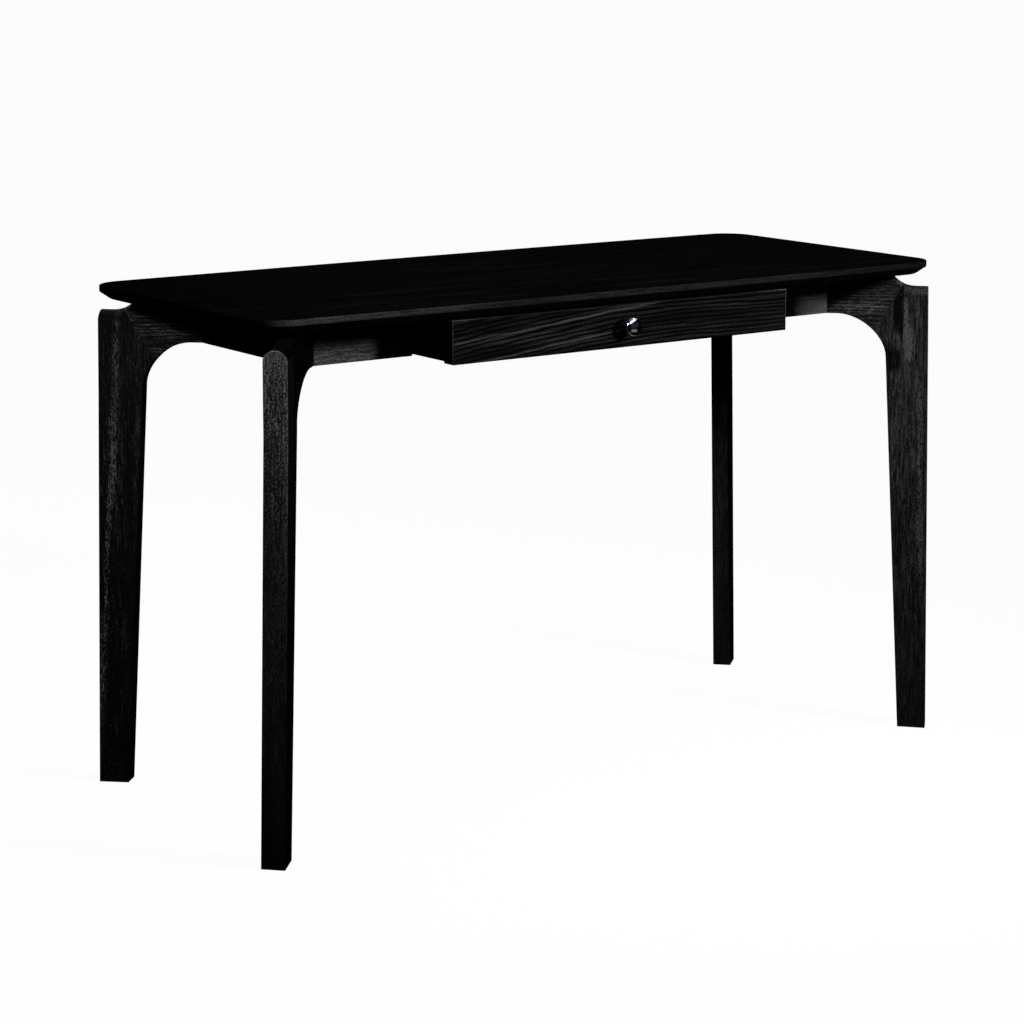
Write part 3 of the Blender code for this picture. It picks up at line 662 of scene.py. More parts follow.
def black_oak(
    name,
    seed,
    turn,
    light,
    lift=0.5,
    power=2.0,
    lines=0.3,
    line_width=0.0065,
    line_power=2.5,
    sweep=None,
    fibre=0.5,
    fibre_size=FIBRES,
    fleck=0.3,
    fleck_size=FLECKS,
    broad=0.3,
    streaks=(),
    streak_grit=4.0,
    shade=None,
    roughness=0.45,
    gloss=0.1,
    relief=0.5,
):
    """Black-stained open-grain oak; turn brings the grain's direction onto X.

    light is the brightest streak's grey, and lift the level that the grain varies about. lines,
    fibre, fleck and broad are how much the growth lines, the fibres, the short flecks and the slow
    patches change it. A higher power or line_power makes the light or the lines narrower. sweep
    lifts the growth lines in a curve towards +X. Each streak is a brighter or darker run, broken
    up by streak_grit: some are runs of grain, others painted highlights and painted shade. shade
    is an axis, and how bright the board is at distances along it, as painted light and shade.
    """
    tree = Tree(name)
    place = tree.place()
    along = tree.add("ShaderNodeMapping", Vector=place, Rotation=turn).outputs["Vector"]
    offset = [seed * shift for shift in SEED_SHIFT]

    wave = growth_wave(tree, along, offset, line_width, sweep)
    fibres = tree.grain_noise(along, fibre_size, offset)
    flecks = tree.grain_noise(along, fleck_size, offset, detail=1.0)
    patches = tree.grain_noise(along, PATCHES, offset)
    pores = tree.ramp(tree.grain_noise(along, PORES, offset), *PORE_STOPS)

    # growth lines, deeper in some patches than in others
    dark_lines = tree.math("POWER", tree.math("MULTIPLY_ADD", wave, 0.5, 0.5), line_power)
    depth = tree.math("MULTIPLY_ADD", patches, *LINE_DEPTH)
    dark_lines = tree.math("MULTIPLY", dark_lines, depth)
    level = tree.math("MULTIPLY_ADD", dark_lines, -lines, lift + 0.4 * lines)

    # fibres, flecks, patches, streaks and pores
    for layer, amount in ((fibres, fibre), (flecks, fleck), (patches, broad)):
        level = tree.math("MULTIPLY_ADD", tree.centred(layer), CONTRAST * amount, level)
    grit = tree.math("MULTIPLY_ADD", tree.centred(flecks), streak_grit, 1.0)
    for streak in streaks:
        level = tree.math("MULTIPLY_ADD", streak_run(tree, place, along, *streak), grit, level)
    level = tree.math("MULTIPLY_ADD", pores, -PORE_DEPTH, level)
    tone = tree.math("POWER", tree.between(0.0, BRIGHTEST, level), power)
    # painted light and shade along the board
    if shade:
        tone = tree.math("MULTIPLY", tone, shading(tree, place, *shade))

    pits = tree.math("MULTIPLY_ADD", pores, -0.5, fibres)
    height = tree.math("MULTIPLY_ADD", wave, 0.5 * lines, pits)
    sheen = tree.math("MINIMUM", tone, 1.0)
    return tree.finish(
        Base_Color=tree.stain(tone, light),
        Roughness=tree.math("MULTIPLY_ADD", sheen, roughness - DULL, DULL),
        Specular_IOR_Level=gloss,
        Normal=tree.bump(height, relief, GRAIN_HEIGHT),
    )


def growth_wave(tree, along, offset, width, sweep):
    """A wave across the grain, from -1 to 1: long bands of uneven width, slowly bent."""
    parts = tree.add("ShaderNodeSeparateXYZ", Vector=along)
    across = tree.math("MULTIPLY_ADD", parts.outputs["Z"], LINE_TURN, parts.outputs["Y"])
    if sweep:
        across = tree.math("SUBTRACT", across, swept(tree, parts.outputs["X"], *sweep))
    bent = tree.grain_noise(along, BENDS, offset)
    across = tree.math("MULTIPLY_ADD", tree.centred(bent), BEND_REACH, across)
    uneven = tree.grain_noise(along, LINE_WIDTHS, offset)
    phase = tree.math("MULTIPLY", across, 2 * math.pi / width)
    return tree.math("SINE", tree.math("MULTIPLY_ADD", tree.centred(uneven), UNEVENNESS, phase))


def swept(tree, x, rise, start, end):
    """A rise over the run from x = start to end, steep at first and then level."""
    left = tree.math("DIVIDE", tree.math("SUBTRACT", end, x), end - start)
    left = tree.between(0.0, 1.0, left)
    return tree.math("MULTIPLY", tree.math("SUBTRACT", 1.0, tree.math("POWER", left, 2.0)), rise)


def streak_run(tree, place, along, axes, slope, centre, width, start, end, strength):
    """How strong a streak is (a run of grain, or painted light and shade): axes names the object axis
    it follows and the one across it.
    """
    parts = tree.add("ShaderNodeSeparateXYZ", Vector=place)
    run, side = parts.outputs[axes[0]], parts.outputs[axes[1]]
    ragged = tree.grain_noise(along, RAGGED_EDGES)
    side = tree.math("MULTIPLY_ADD", tree.centred(ragged), RAGGED_REACH, side)
    off = tree.math("ADD", tree.math("MULTIPLY_ADD", run, -slope, side), -centre)
    off = tree.math("DIVIDE", off, width)
    crown = tree.math("MAXIMUM", tree.math("SUBTRACT", 1.0, tree.math("MULTIPLY", off, off)), 0.0)
    middle, reach = (start + end) / 2, (end - start) / 2
    far = tree.math("DIVIDE", tree.math("ADD", run, -middle), reach)
    far = tree.math("POWER", tree.math("ABSOLUTE", far), 4.0)
    inside = tree.math("MAXIMUM", tree.math("SUBTRACT", 1.0, far), 0.0)
    return tree.math("MULTIPLY", tree.math("MULTIPLY", crown, inside), strength)


def shading(tree, place, axis, stops):
    """A factor that follows (distance, factor) stops along an object axis: painted light and shade.
    """
    low, high = stops[0][0], stops[-1][0]
    peak = max(factor for _, factor in stops)
    part = tree.math("DIVIDE", tree.math("SUBTRACT", tree.axis(place, axis), low), high - low)
    stops = [((where - low) / (high - low), factor / peak) for where, factor in stops]
    return tree.math("MULTIPLY", tree.ramp(part, *stops), peak)


def painted_edge_highlight(name, light, axis, reach, power):
    """A painted highlight on an edge, in short runs, strongest at reach along the object axis."""
    tree = Tree(name)
    place = tree.place()
    broken = tree.noise(place, scale=170.0, detail=2.0)
    level = tree.math("MULTIPLY_ADD", broken, 1.6, -0.2)
    near = tree.math("DIVIDE", tree.math("ABSOLUTE", tree.axis(place, axis)), reach)
    level = tree.math("MULTIPLY", tree.math("POWER", near, power), level)
    level = tree.between(0.0, BRIGHTEST, level)
    return tree.finish(Base_Color=tree.stain(level, light), Roughness=0.5, Specular_IOR_Level=0.12)


def chrome():
    """Polished chrome plate with faint handling marks."""
    tree = Tree("chrome")
    smears = tree.noise(tree.place(), scale=140.0, detail=4.0)
    rough = tree.math("MULTIPLY_ADD", smears, 0.05, 0.03)
    return tree.finish(Base_Color=(0.78, 0.79, 0.82, 1.0), Metallic=1.0, Roughness=rough)


def zinc():
    """Zinc-plated sheet and wire, softly streaked along its length."""
    tree = Tree("zinc_steel")
    place = tree.place()
    streaks = tree.noise(tree.stretched(place, (900.0, 12.0, 900.0)), detail=3.0)
    clouds = tree.noise(place, scale=60.0, detail=3.0)
    mixed = tree.math("MULTIPLY_ADD", clouds, 0.5, tree.math("MULTIPLY", streaks, 0.5))
    return tree.finish(
        Base_Color=tree.mix(mixed, (0.34, 0.35, 0.37, 1.0), (0.62, 0.63, 0.66, 1.0)),
        Metallic=1.0,
        Roughness=tree.math("MULTIPLY_ADD", mixed, 0.25, 0.22),
        Normal=tree.bump(streaks, 0.15, 0.0002),
    )


def coated_steel():
    """Black-coated sheet steel for the slides."""
    tree = Tree("black_steel")
    clouds = tree.noise(tree.place(), scale=90.0, detail=3.0)
    colour = tree.mix(clouds, (0.010, 0.010, 0.011, 1.0), (0.020, 0.020, 0.022, 1.0))
    return tree.finish(Base_Color=colour, Roughness=0.42)


def nylon():
    """Black moulded nylon with a fine texture."""
    tree = Tree("black_nylon")
    grit = tree.noise(tree.place(), scale=2600.0, detail=2.0)
    colour = tree.mix(grit, (0.012, 0.012, 0.013, 1.0), (0.024, 0.024, 0.026, 1.0))
    return tree.finish(Base_Color=colour, Roughness=0.55, Normal=tree.bump(grit, 0.3, 0.0002))


def beech():
    """Planed beech with its small ray flecks."""
    tree = Tree("beech")
    fibres = tree.noise(tree.stretched(tree.place(), (500.0, 500.0, 30.0)), detail=4.0)
    colour = tree.mix(fibres, (0.30, 0.18, 0.09, 1.0), (0.52, 0.35, 0.20, 1.0))
    return tree.finish(Base_Color=colour, Roughness=0.6, Normal=tree.bump(fibres, 0.3, 0.0003))


def drawer_ply():
    """Dark-stained plywood for the drawer box, with a flat matt lacquer."""
    tree = Tree("drawer_box_ply")
    place = tree.place()
    fibres = tree.noise(tree.stretched(place, (260.0, 14.0, 260.0)), detail=4.0)
    clouds = tree.noise(tree.stretched(place, (20.0, 3.0, 20.0)), detail=2.0)
    tone = tree.math("MULTIPLY_ADD", clouds, 0.5, tree.math("MULTIPLY", fibres, 0.6))
    return tree.finish(
        Base_Color=tree.mix(tone, (0.006, 0.0055, 0.005, 1.0), (0.034, 0.030, 0.026, 1.0)),
        Roughness=0.6,
        Specular_IOR_Level=0.3,
        Normal=tree.bump(fibres, 0.3, 0.0003),
    )


def glowing(name, grey, colour, glow):
    """A matt surface that gives its own even light."""
    return Tree(name).finish(
        Base_Color=(grey, grey, grey, 1),
        Roughness=1.0,
        Specular_IOR_Level=0.0,
        Emission_Color=(*colour, 1),
        Emission_Strength=glow,
    )


# ---------------------------------------------------------------- mesh helpers
def lerp(a, b, t):
    return a + (b - a) * t


def smooth_step(low, high, value):
    t = min(1.0, max(0.0, (value - low) / (high - low)))
    return t * t * (3 - 2 * t)


def spread(low, high, count):
    return [lerp(low, high, i / (count - 1)) for i in range(count)]


ACROSS = [math.sin(math.radians(angle)) for angle in spread(-90, 90, ACROSS_STEPS)]


def mesh_from(bm, name):
    bmesh.ops.recalc_face_normals(bm, faces=bm.faces)
    mesh = bpy.data.meshes.new(name)
    bm.to_mesh(mesh)
    bm.free()
    return mesh


def shown(name, data, matrix=None):
    """A new object in the scene: a mesh, a light or the camera."""
    obj = bpy.data.objects.new(name, data)
    bpy.context.scene.collection.objects.link(obj)
    if matrix is not None:
        obj.matrix_world = matrix
    return obj


def piece(name, mesh, material, slot, body, nodes, matrix):
    """A finished piece that stands for CAD nodes and rides on a body."""
    obj = shown(name, mesh, matrix)
    mesh.materials.clear()
    mesh.materials.append(material)
    mesh.shade_smooth()
    mesh.set_sharp_from_angle(angle=SHARP_ANGLE)
    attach(obj, body)
    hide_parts(*nodes)
    return obj


def add_bevel(obj, width, segments, weighted=False, highlight_material=None):
    """Rounds a piece's edges, and gives the rounding a painted edge highlight material if one is
    given.
    """
    bevel = obj.modifiers.new("round", "BEVEL")
    if highlight_material:
        obj.data.materials.append(highlight_material)
        bevel.material = len(obj.data.materials) - 1
    bevel.width = width
    bevel.segments = segments
    bevel.use_clamp_overlap = True
    bevel.limit_method = "WEIGHT" if weighted else "ANGLE"
    if not weighted:
        bevel.angle_limit = BEVEL_ANGLE


def bridge(bm, rings):
    """Joins each ring of vertices to the next with quads."""
    for upper, lower in zip(rings, rings[1:]):
        for i in range(len(upper)):
            j = (i + 1) % len(upper)
            bm.faces.new((upper[i], upper[j], lower[j], lower[i]))


def lattice_mesh(name, counts, place, weight):
    """The surface of a (u, v, w) lattice; weight(u, v, w) is how much an edge is rounded."""
    bm = bmesh.new()
    made = {}
    round_layer = bm.edges.layers.float.new("bevel_weight_edge")

    def vert(index):
        if index not in made:
            made[index] = bm.verts.new(place(*index))
        return made[index]

    for axis in range(3):
        first, second = [a for a in range(3) if a != axis]
        for level in (0, counts[axis] - 1):
            for a in range(counts[first] - 1):
                for b in range(counts[second] - 1):
                    ring = []
                    for da, db in ((0, 0), (1, 0), (1, 1), (0, 1)):
                        index = [0, 0, 0]
                        index[axis] = level
                        index[first] = a + da
                        index[second] = b + db
                        ring.append(vert(tuple(index)))
                    bm.faces.new(ring)
    where = {v: index for index, v in made.items()}
    for edge in bm.edges:
        start, end = (where[v] for v in edge.verts)
        axis = next(a for a in range(3) if start[a] != end[a])
        others = [a for a in range(3) if a != axis]
        if all(start[a] in (0, counts[a] - 1) for a in others):
            middle = [(start[a] + end[a]) / 2 / (counts[a] - 1) for a in range(3)]
            edge[round_layer] = weight(*middle)
    return mesh_from(bm, name)


def refined_mesh(node):
    """A CAD node's mesh with its flat faces made whole again, ready for rounding."""
    bm = bmesh.new()
    bm.from_mesh(frame["nodes"][node].data)
    bmesh.ops.remove_doubles(bm, verts=bm.verts, dist=MERGE_DISTANCE)
    bmesh.ops.dissolve_limit(
        bm,
        angle_limit=FLAT_ANGLE,
        verts=bm.verts,
        edges=bm.edges,
        use_dissolve_boundaries=False,
    )
    return mesh_from(bm, node)


def body_of(node):
    bodies = frame["record"]["behaviour"]["bodies"]
    return next(body for body, members in bodies.items() if node in members)


def slot_of(node):
    rows = frame["record"]["subparts"]
    return next(row["material_slot"] for row in rows if row["node"] == node)


def refine(node, material, width=BOARD_ARRIS, segments=2, highlight_material=None):
    """A piece of the CAD node's own shape with its edges softened, about the node's centre."""
    low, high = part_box(node)
    centre = (low + high) / 2
    mesh = refined_mesh(node)
    mesh.transform(Matrix.Translation(-centre))
    matrix = Matrix.Translation(centre)
    obj = piece(node + "_fine", mesh, material, slot_of(node), body_of(node), [node], matrix)
    add_bevel(obj, width, segments, highlight_material=highlight_material)


def lathe_mesh(name, profile, steps):
    """A turned solid about Z from (radius, z) points, top to bottom, on the axis at both ends."""
    bm = bmesh.new()
    turns = [2 * math.pi * i / steps for i in range(steps)]
    rings = []
    for radius, z in profile[1:-1]:
        ring = [bm.verts.new((radius * math.cos(a), radius * math.sin(a), z)) for a in turns]
        rings.append(ring)
    bridge(bm, rings)
    for (_, z), ring in ((profile[0], rings[0]), (profile[-1], rings[-1])):
        tip = bm.verts.new((0, 0, z))
        for i in range(steps):
            bm.faces.new((tip, ring[i], ring[(i + 1) % steps]))
    return mesh_from(bm, name)


# ---------------------------------------------------------------- the top
def top_edge_y(x):
    return TOP_DEPTH / 2 - TOP_BOW * (2 * x / TOP_LENGTH) ** 2


def top_ring(inset, z):
    """The top's plan outline, moved inwards by inset, at height z."""
    corner_x = TOP_LENGTH / 2 - TOP_CORNER_RADIUS
    slope = math.atan(8 * TOP_BOW * corner_x / TOP_LENGTH**2)
    tangent_x = corner_x + TOP_CORNER_RADIUS * math.sin(slope)
    corner_y = top_edge_y(tangent_x) - TOP_CORNER_RADIUS * math.cos(slope)
    radius = TOP_CORNER_RADIUS - inset
    quarter = []
    for i in range(TOP_EDGE_STEPS):
        x = tangent_x * i / TOP_EDGE_STEPS
        quarter.append((x, top_edge_y(x) - inset))
    for i in range(TOP_CORNER_STEPS + 1):
        angle = (math.pi / 2 - slope) * (1 - i / TOP_CORNER_STEPS)
        quarter.append((corner_x + radius * math.cos(angle), corner_y + radius * math.sin(angle)))
    ring = quarter
    ring = ring + [(x, -y) for x, y in reversed(quarter)]
    ring = ring + [(-x, -y) for x, y in quarter[1:]]
    ring = ring + [(-x, y) for x, y in reversed(quarter[1:])]
    return [(x, y, z) for x, y in ring]


def top_profile():
    """(inset, z) points from the top face down the edge and under it."""
    face = TOP_HIGH.z
    points = []
    for i in range(TOP_ARRIS_STEPS + 1):
        angle = math.pi / 2 * i / TOP_ARRIS_STEPS
        inset = TOP_ARRIS * (1 - math.sin(angle))
        points.append((inset, face - TOP_ARRIS * (1 - math.cos(angle))))
    ease_in, ease_down = TOP_BAND_EASE
    points.append((0.0, face - TOP_EDGE_BAND + ease_down))
    points.append((ease_in, face - TOP_EDGE_BAND - ease_down))
    points.append((TOP_BEVEL_END[0] / 2, face - (TOP_EDGE_BAND + TOP_BEVEL_END[1]) / 2))
    start = Vector((TOP_BEVEL_END[0], -TOP_BEVEL_END[1]))
    bend = Vector((TOP_BEVEL_EASE, UNDERSIDE - face))
    end = Vector((TOP_BEVEL_DEPTH, UNDERSIDE - face))
    for i in range(TOP_BEVEL_STEPS + 1):
        t = i / TOP_BEVEL_STEPS
        point = (1 - t) ** 2 * start + 2 * t * (1 - t) * bend + t * t * end
        points.append((point.x, face + point.y))
    return points


def build_top():
    """The slab, with veneer on its face, a lipping on its long edges, and painted shade in a
    near-black oak under it.
    """
    bm = bmesh.new()
    rings = [[bm.verts.new(p) for p in top_ring(inset, z)] for inset, z in top_profile()]
    bridge(bm, rings)
    bm.faces.new(rings[0])
    bm.faces.new(rings[-1])
    mesh = mesh_from(bm, "tabletop")
    veneer = black_oak("tabletop_oak", SEEDS["tabletop"], ALONG_X, **VENEER)
    matrix = Matrix.Translation((0, MIDDLE_Y, 0))
    piece("tabletop_slab", mesh, veneer, "tabletop_oak", "table", ["tabletop"], matrix)
    for name, grain in (("lipping", LIPPING), ("underside", TOP_UNDERSIDE_SHADE)):
        mesh.materials.append(black_oak(f"{name}_oak", SEEDS[name], ALONG_X, **grain))
    lowest, highest = LIPPING_FACING_Z
    for face in mesh.polygons:
        if abs(face.normal.y) > LIPPING_FACING_Y and lowest < face.normal.z < highest:
            face.material_index = 1
        elif face.normal.z < 0:
            face.material_index = 2


# ---------------------------------------------------------------- legs and bracket arms
def leg_outer(z):
    return -LEG_LEAN_ALONG * (LEG_DATUM_Z - z) / LEG_DATUM_Z


def leg_inner(z):
    return leg_outer(z) + lerp(LEG_WIDTH_FOOT, LEG_WIDTH_TOP, z / LEG_CURVE_START_Z)


def arch_drop(t):
    return ARCH_RADIUS - math.sqrt(ARCH_RADIUS**2 - t**2)


def saddle_z(s, t):
    """The hollow on top of the leg and arm, s inwards from the outer face, t to the side."""
    run = min(max(0.0, s - SADDLE_START), SADDLE_RADIUS)
    return LEG_TOP_Z + SADDLE_RADIUS - math.sqrt(SADDLE_RADIUS**2 - run**2) - arch_drop(t)


def bracket_curve(steps):
    """The curve under the bracket, from the leg's inner edge up to the level underside."""
    start = Vector((leg_inner(LEG_CURVE_START_Z), LEG_CURVE_START_Z))
    end = Vector((ARM_CURVE_END, ARM_UNDERSIDE))
    rise = Vector(BRACKET_RISE)
    run = Vector((-BRACKET_RUN, 0.0))
    points = []
    for i in range(steps + 1):
        t = i / steps
        a, b, c, d = (1 - t) ** 3, 3 * t * (1 - t) ** 2, 3 * t * t * (1 - t), t**3
        points.append(a * start + b * (start + rise) + c * (end + run) + d * end)
    return points


CURVE = bracket_curve(CURVE_STEPS)


def curve_s(z):
    """The bracket curve's distance from the outer face at height z."""
    for lower, upper in zip(CURVE, CURVE[1:]):
        if lower.y <= z <= upper.y:
            return lerp(lower.x, upper.x, (z - lower.y) / (upper.y - lower.y))
    return CURVE[0].x


def mitre_s(z):
    rise = saddle_z(MITRE_TOP, 0.0) - MITRE_FOOT_Z
    return lerp(curve_s(MITRE_FOOT_Z), MITRE_TOP, (z - MITRE_FOOT_Z) / rise)


def leg_right(z):
    """The leg's inner boundary: straight edge, bracket curve, then mitre."""
    if z <= LEG_CURVE_START_Z:
        return leg_inner(z)
    if z <= MITRE_FOOT_Z:
        return curve_s(z)
    return mitre_s(z)


def leg_half_thickness(s, z):
    """Full at the outer face; a crease and hollow bring it down to the arm's thickness."""
    outer_half = LEG_THICKNESS / 2
    inner_half = lerp(LEG_INNER_THICKNESS_FOOT, ARM_THICKNESS, min(1.0, z / LEG_CURVE_START_Z)) / 2
    along = (s - leg_outer(z)) / (leg_right(z) - leg_outer(z))
    tapered = lerp(outer_half, inner_half, min(1.0, max(0.0, along)))
    run = max(SHORTEST_CREASE, min(LEG_CREASE_RUN, leg_right(z) - LEG_CREASE))
    hollow = min(1.0, max(0.0, (s - LEG_CREASE) / run))
    creased = lerp(inner_half, outer_half, (1 - hollow) ** 2)
    return lerp(tapered, creased, smooth_step(*LEG_CREASE_FADE_Z, z))


def leg_stations(z):
    """Distances from the outer face at which the leg's surface is built at height z."""
    outer, right = leg_outer(z), leg_right(z)
    crease = min(LEG_CREASE, right - LEG_NARROWEST[0])
    flat = min(LEG_CREASE + LEG_CREASE_RUN, right - LEG_NARROWEST[1])
    stations = spread(outer, crease, LEG_OUTER_STEPS + 1)
    stations += spread(crease, flat, LEG_HOLLOW_STEPS + 1)[1:]
    stations += spread(flat, right, LEG_FLAT_STEPS + 1)[1:]
    return stations


def leg_mesh(name, hand):
    """A leg post with X inwards along the diagonal; hand is the side that the foot leans to."""
    levels = spread(*STRAIGHT_LEVELS) + spread(*CURVED_LEVELS) + spread(*MITRE_LEVELS)
    columns = LEG_OUTER_STEPS + LEG_HOLLOW_STEPS + LEG_FLAT_STEPS + 1
    mitre_start = STRAIGHT_LEVELS[2] + CURVED_LEVELS[2] - 2

    def place(u, v, w):
        z = levels[min(w, len(levels) - 1)]
        s = leg_stations(z)[u]
        t = ACROSS[v] * leg_half_thickness(s, z)
        if w == len(levels):
            for _ in range(SETTLING_STEPS):
                s = leg_stations(z)[u]
                t = ACROSS[v] * leg_half_thickness(s, z)
                z = saddle_z(s, t)
        lean = LEG_LEAN_ACROSS * max(0.0, 1 - z / LEG_CREASE_FADE_Z[0])
        return (s, t + hand * lean, z)

    def weight(u, v, w):
        """Sharp at the mitre, the foot and the crown's sides, round at its front, fine elsewhere."""
        at_mitre = u == 1.0 and w * len(levels) > mitre_start
        if at_mitre or w == 0.0:
            return MITRE_EDGE
        if w == 1.0:
            return CROWN_EDGE if u == 0.0 else MITRE_EDGE
        return FINE_EDGE

    return lattice_mesh(name, (columns, len(ACROSS), len(levels) + 1), place, weight)


def arm_mesh(name):
    """A bracket arm with X inwards along the diagonal, from the mitre to its end in the frame."""
    under = [Vector((curve_s(MITRE_FOOT_Z), MITRE_FOOT_Z))]
    under += [p for p in CURVE[::ARM_CURVE_STRIDE] if p.y > MITRE_FOOT_Z + ARM_FIRST_RISE]
    under += [Vector((s, ARM_UNDERSIDE)) for s in ARM_LEVEL_STATIONS]
    curve_end = len(under) - 1 - len(ARM_LEVEL_STATIONS)

    def place(u, v, w):
        t = ACROSS[v] * ARM_THICKNESS / 2
        low = under[u]
        s = low.x
        if u <= curve_end:
            s = lerp(MITRE_TOP, SADDLE_END, (u / curve_end) ** ARM_CROWDING)
        z = min(UNDERSIDE - GAP, saddle_z(s, t))
        if u == 0:
            for _ in range(SETTLING_STEPS):
                s = mitre_s(z)
                z = saddle_z(s, t)
        point = low.lerp(Vector((s, z)), w / (ARM_ROWS - 1))
        return (point.x + (2 * GAP if u == 0 else 0.0), t, point.y)

    def weight(u, v, w):
        return MITRE_EDGE if u in (0.0, 1.0) else FINE_EDGE

    return lattice_mesh(name, (len(under), len(ACROSS), ARM_ROWS), place, weight)


def corner_matrix(sx, sy):
    """A corner's own frame: origin at the leg's outer face, X inwards along the diagonal."""
    place = Matrix.Translation((sx * LEG_X, sy * LEG_Y + MIDDLE_Y, 0))
    return place @ Matrix.Rotation(math.atan2(-sy, -sx), 4, "Z")


def paint_crown_shade(mesh, material):
    """Gives the upward faces of a leg or arm a near-black oak: painted shade under the top."""
    mesh.materials.append(material)
    for face in mesh.polygons:
        if face.normal.z > CROWN_SLOPE and face.center.z > MITRE_FOOT_Z:
            face.material_index = 1


def build_corner(number, name, post_mesh, bracket_mesh, crown):
    """A leg and its arm, each in its own oak. The front left pair also has painted shade on its
    crown.
    """
    leg_oak = black_oak(
        f"leg_oak_{name}", SEEDS["leg"] + number, ALONG_Z, **{**LEG_GRAIN, **LEG_GRAINS[name]}
    )
    arm_oak = black_oak(
        f"arm_oak_{name}", SEEDS["arm"] + number, ALONG_X, **{**ARM_GRAIN, **ARM_GRAINS[name]}
    )
    grey, fade = LEG_EDGE_HIGHLIGHTS[name]
    # the leg's rounded edges get a painted highlight, fading down from the crown
    highlight_material = painted_edge_highlight(f"leg_arris_{name}", grey, "Z", LEG_TOP_Z, fade)
    place = corner_matrix(*CORNERS[name])
    post, bracket = f"leg_post_{name}", f"bracket_arm_{name}"
    leg = piece(f"leg_{name}", post_mesh, leg_oak, "leg_oak", "table", [post], place)
    arm = piece(
        f"arm_{name}", bracket_mesh, arm_oak, "bracket_arm_oak", "table", [bracket], place
    )
    # painted shade on the front left crown
    if name == "front_left":
        paint_crown_shade(leg.data, crown)
        paint_crown_shade(arm.data, crown)
    add_bevel(leg, EDGE_ROUND, EDGE_ROUND_STEPS, weighted=True, highlight_material=highlight_material)
    add_bevel(arm, EDGE_ROUND, EDGE_ROUND_STEPS, weighted=True)


def build_corners():
    legs = {hand: leg_mesh(f"leg_{hand}", hand) for hand in (-1, 1)}
    arm = arm_mesh("arm")
    crown = black_oak("crown_oak", SEEDS["crown"], ALONG_X, **CROWN_SHADE_GRAIN)
    for number, (name, (sx, sy)) in enumerate(CORNERS.items()):
        hand = 1 if sx == sy else -1
        build_corner(number, name, legs[hand].copy(), arm.copy(), crown)


# ---------------------------------------------------------------- frame, drawer and fittings
def build_frame():
    for number, (node, changes) in enumerate(RAIL_GRAINS.items()):
        grain = {**RAIL_GRAIN, **changes}
        refine(node, black_oak(f"rail_oak_{number}", SEEDS["rail"] + number, **grain))
    for number, name in enumerate(CORNERS):
        oak = black_oak(f"block_oak_{name}", SEEDS["block"] + number, ALONG_Z, **BLOCK_GRAIN)
        refine(f"corner_block_{name}", oak)


def build_drawer():
    oak = black_oak("drawer_front_oak", SEEDS["drawer_front"], ALONG_X, **DRAWER_GRAIN)
    grey, fade = DRAWER_EDGE_HIGHLIGHT
    # the drawer front's rounded edges get a painted highlight, strongest at its ends
    highlight_material = painted_edge_highlight("drawer_arris", grey, "X", DRAWER_FRONT_WIDTH / 2, fade)
    refine("drawer_front", oak, DRAWER_FRONT_ARRIS, segments=3, highlight_material=highlight_material)
    ply = drawer_ply()
    for node in ("drawer_side_left", "drawer_side_right", "drawer_back", "drawer_bottom"):
        refine(node, ply, PLY_ARRIS)


def knob_profile(length):
    """(radius, distance from the drawer front) points: domed face, round lip, neck, screw hole."""
    face_radius = KNOB_RADIUS - KNOB_LIP
    points = []
    for i in range(KNOB_ARC_STEPS + 1):
        radius = face_radius * i / KNOB_ARC_STEPS
        points.append((radius, length - KNOB_DOME * (radius / KNOB_RADIUS) ** 2))
    lip_z = points[-1][1] - KNOB_LIP
    for i in range(1, KNOB_ARC_STEPS + 1):
        angle = math.pi / 2 * (1 - i / KNOB_ARC_STEPS)
        points.append((face_radius + KNOB_LIP * math.cos(angle), lip_z + KNOB_LIP * math.sin(angle)))
    bore_radius, bore_depth = KNOB_BORE
    bore = ((bore_radius, 0.0), (bore_radius, bore_depth), (0.0, bore_depth))
    return [*points, *KNOB_NECK, *bore]


def build_knob():
    low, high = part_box("knob")
    mesh = lathe_mesh("knob", knob_profile(high.y - low.y), KNOB_TURN_STEPS)
    place = Matrix.Translation((0, high.y, (low.z + high.z) / 2))
    place = place @ Matrix.Rotation(math.pi / 2, 4, "X")
    piece("knob_turned", mesh, chrome(), "chrome", "drawer", ["knob"], place)


def build_fittings():
    plated = zinc()
    coated = coated_steel()
    for side in ("left", "right"):
        for member in ("cabinet", "middle", "drawer"):
            refine(f"slide_{member}_{side}", coated, METAL_ARRIS)
    for number in range(1, CLIP_COUNT + 1):
        refine(f"top_clip_{number}", plated, METAL_ARRIS)
        refine(f"top_screw_{number}", plated, METAL_ARRIS)
    for name in CORNERS:
        refine(f"corner_bolt_{name}", plated, METAL_ARRIS)
    refine("knob_screw", plated, METAL_ARRIS)
    glide = nylon()
    tenon = beech()
    for name in CORNERS:
        refine(f"foot_glide_{name}", glide, METAL_ARRIS)
        refine(f"mitre_tenon_{name}", tenon, TENON_ARRIS)


# ---------------------------------------------------------------- studio
def direction(azimuth, elevation):
    turn, rise = math.radians(azimuth), math.radians(elevation)
    across, level = math.sin(turn), -math.cos(turn)
    return Vector((across * math.cos(rise), level * math.cos(rise), math.sin(rise)))


def build_camera():
    data = bpy.data.cameras.new("camera")
    data.lens = CAMERA_LENS
    data.sensor_width = CAMERA_SENSOR
    data.shift_y = CAMERA_SHIFT_Y
    data.clip_end = CAMERA_REACH
    camera = shown("camera", data)
    camera.location = Vector(CAMERA_PLACE) + Vector((0, MIDDLE_Y, 0))
    camera.rotation_euler = (math.radians(CAMERA_PITCH), 0, math.radians(CAMERA_YAW))
    bpy.context.scene.camera = camera


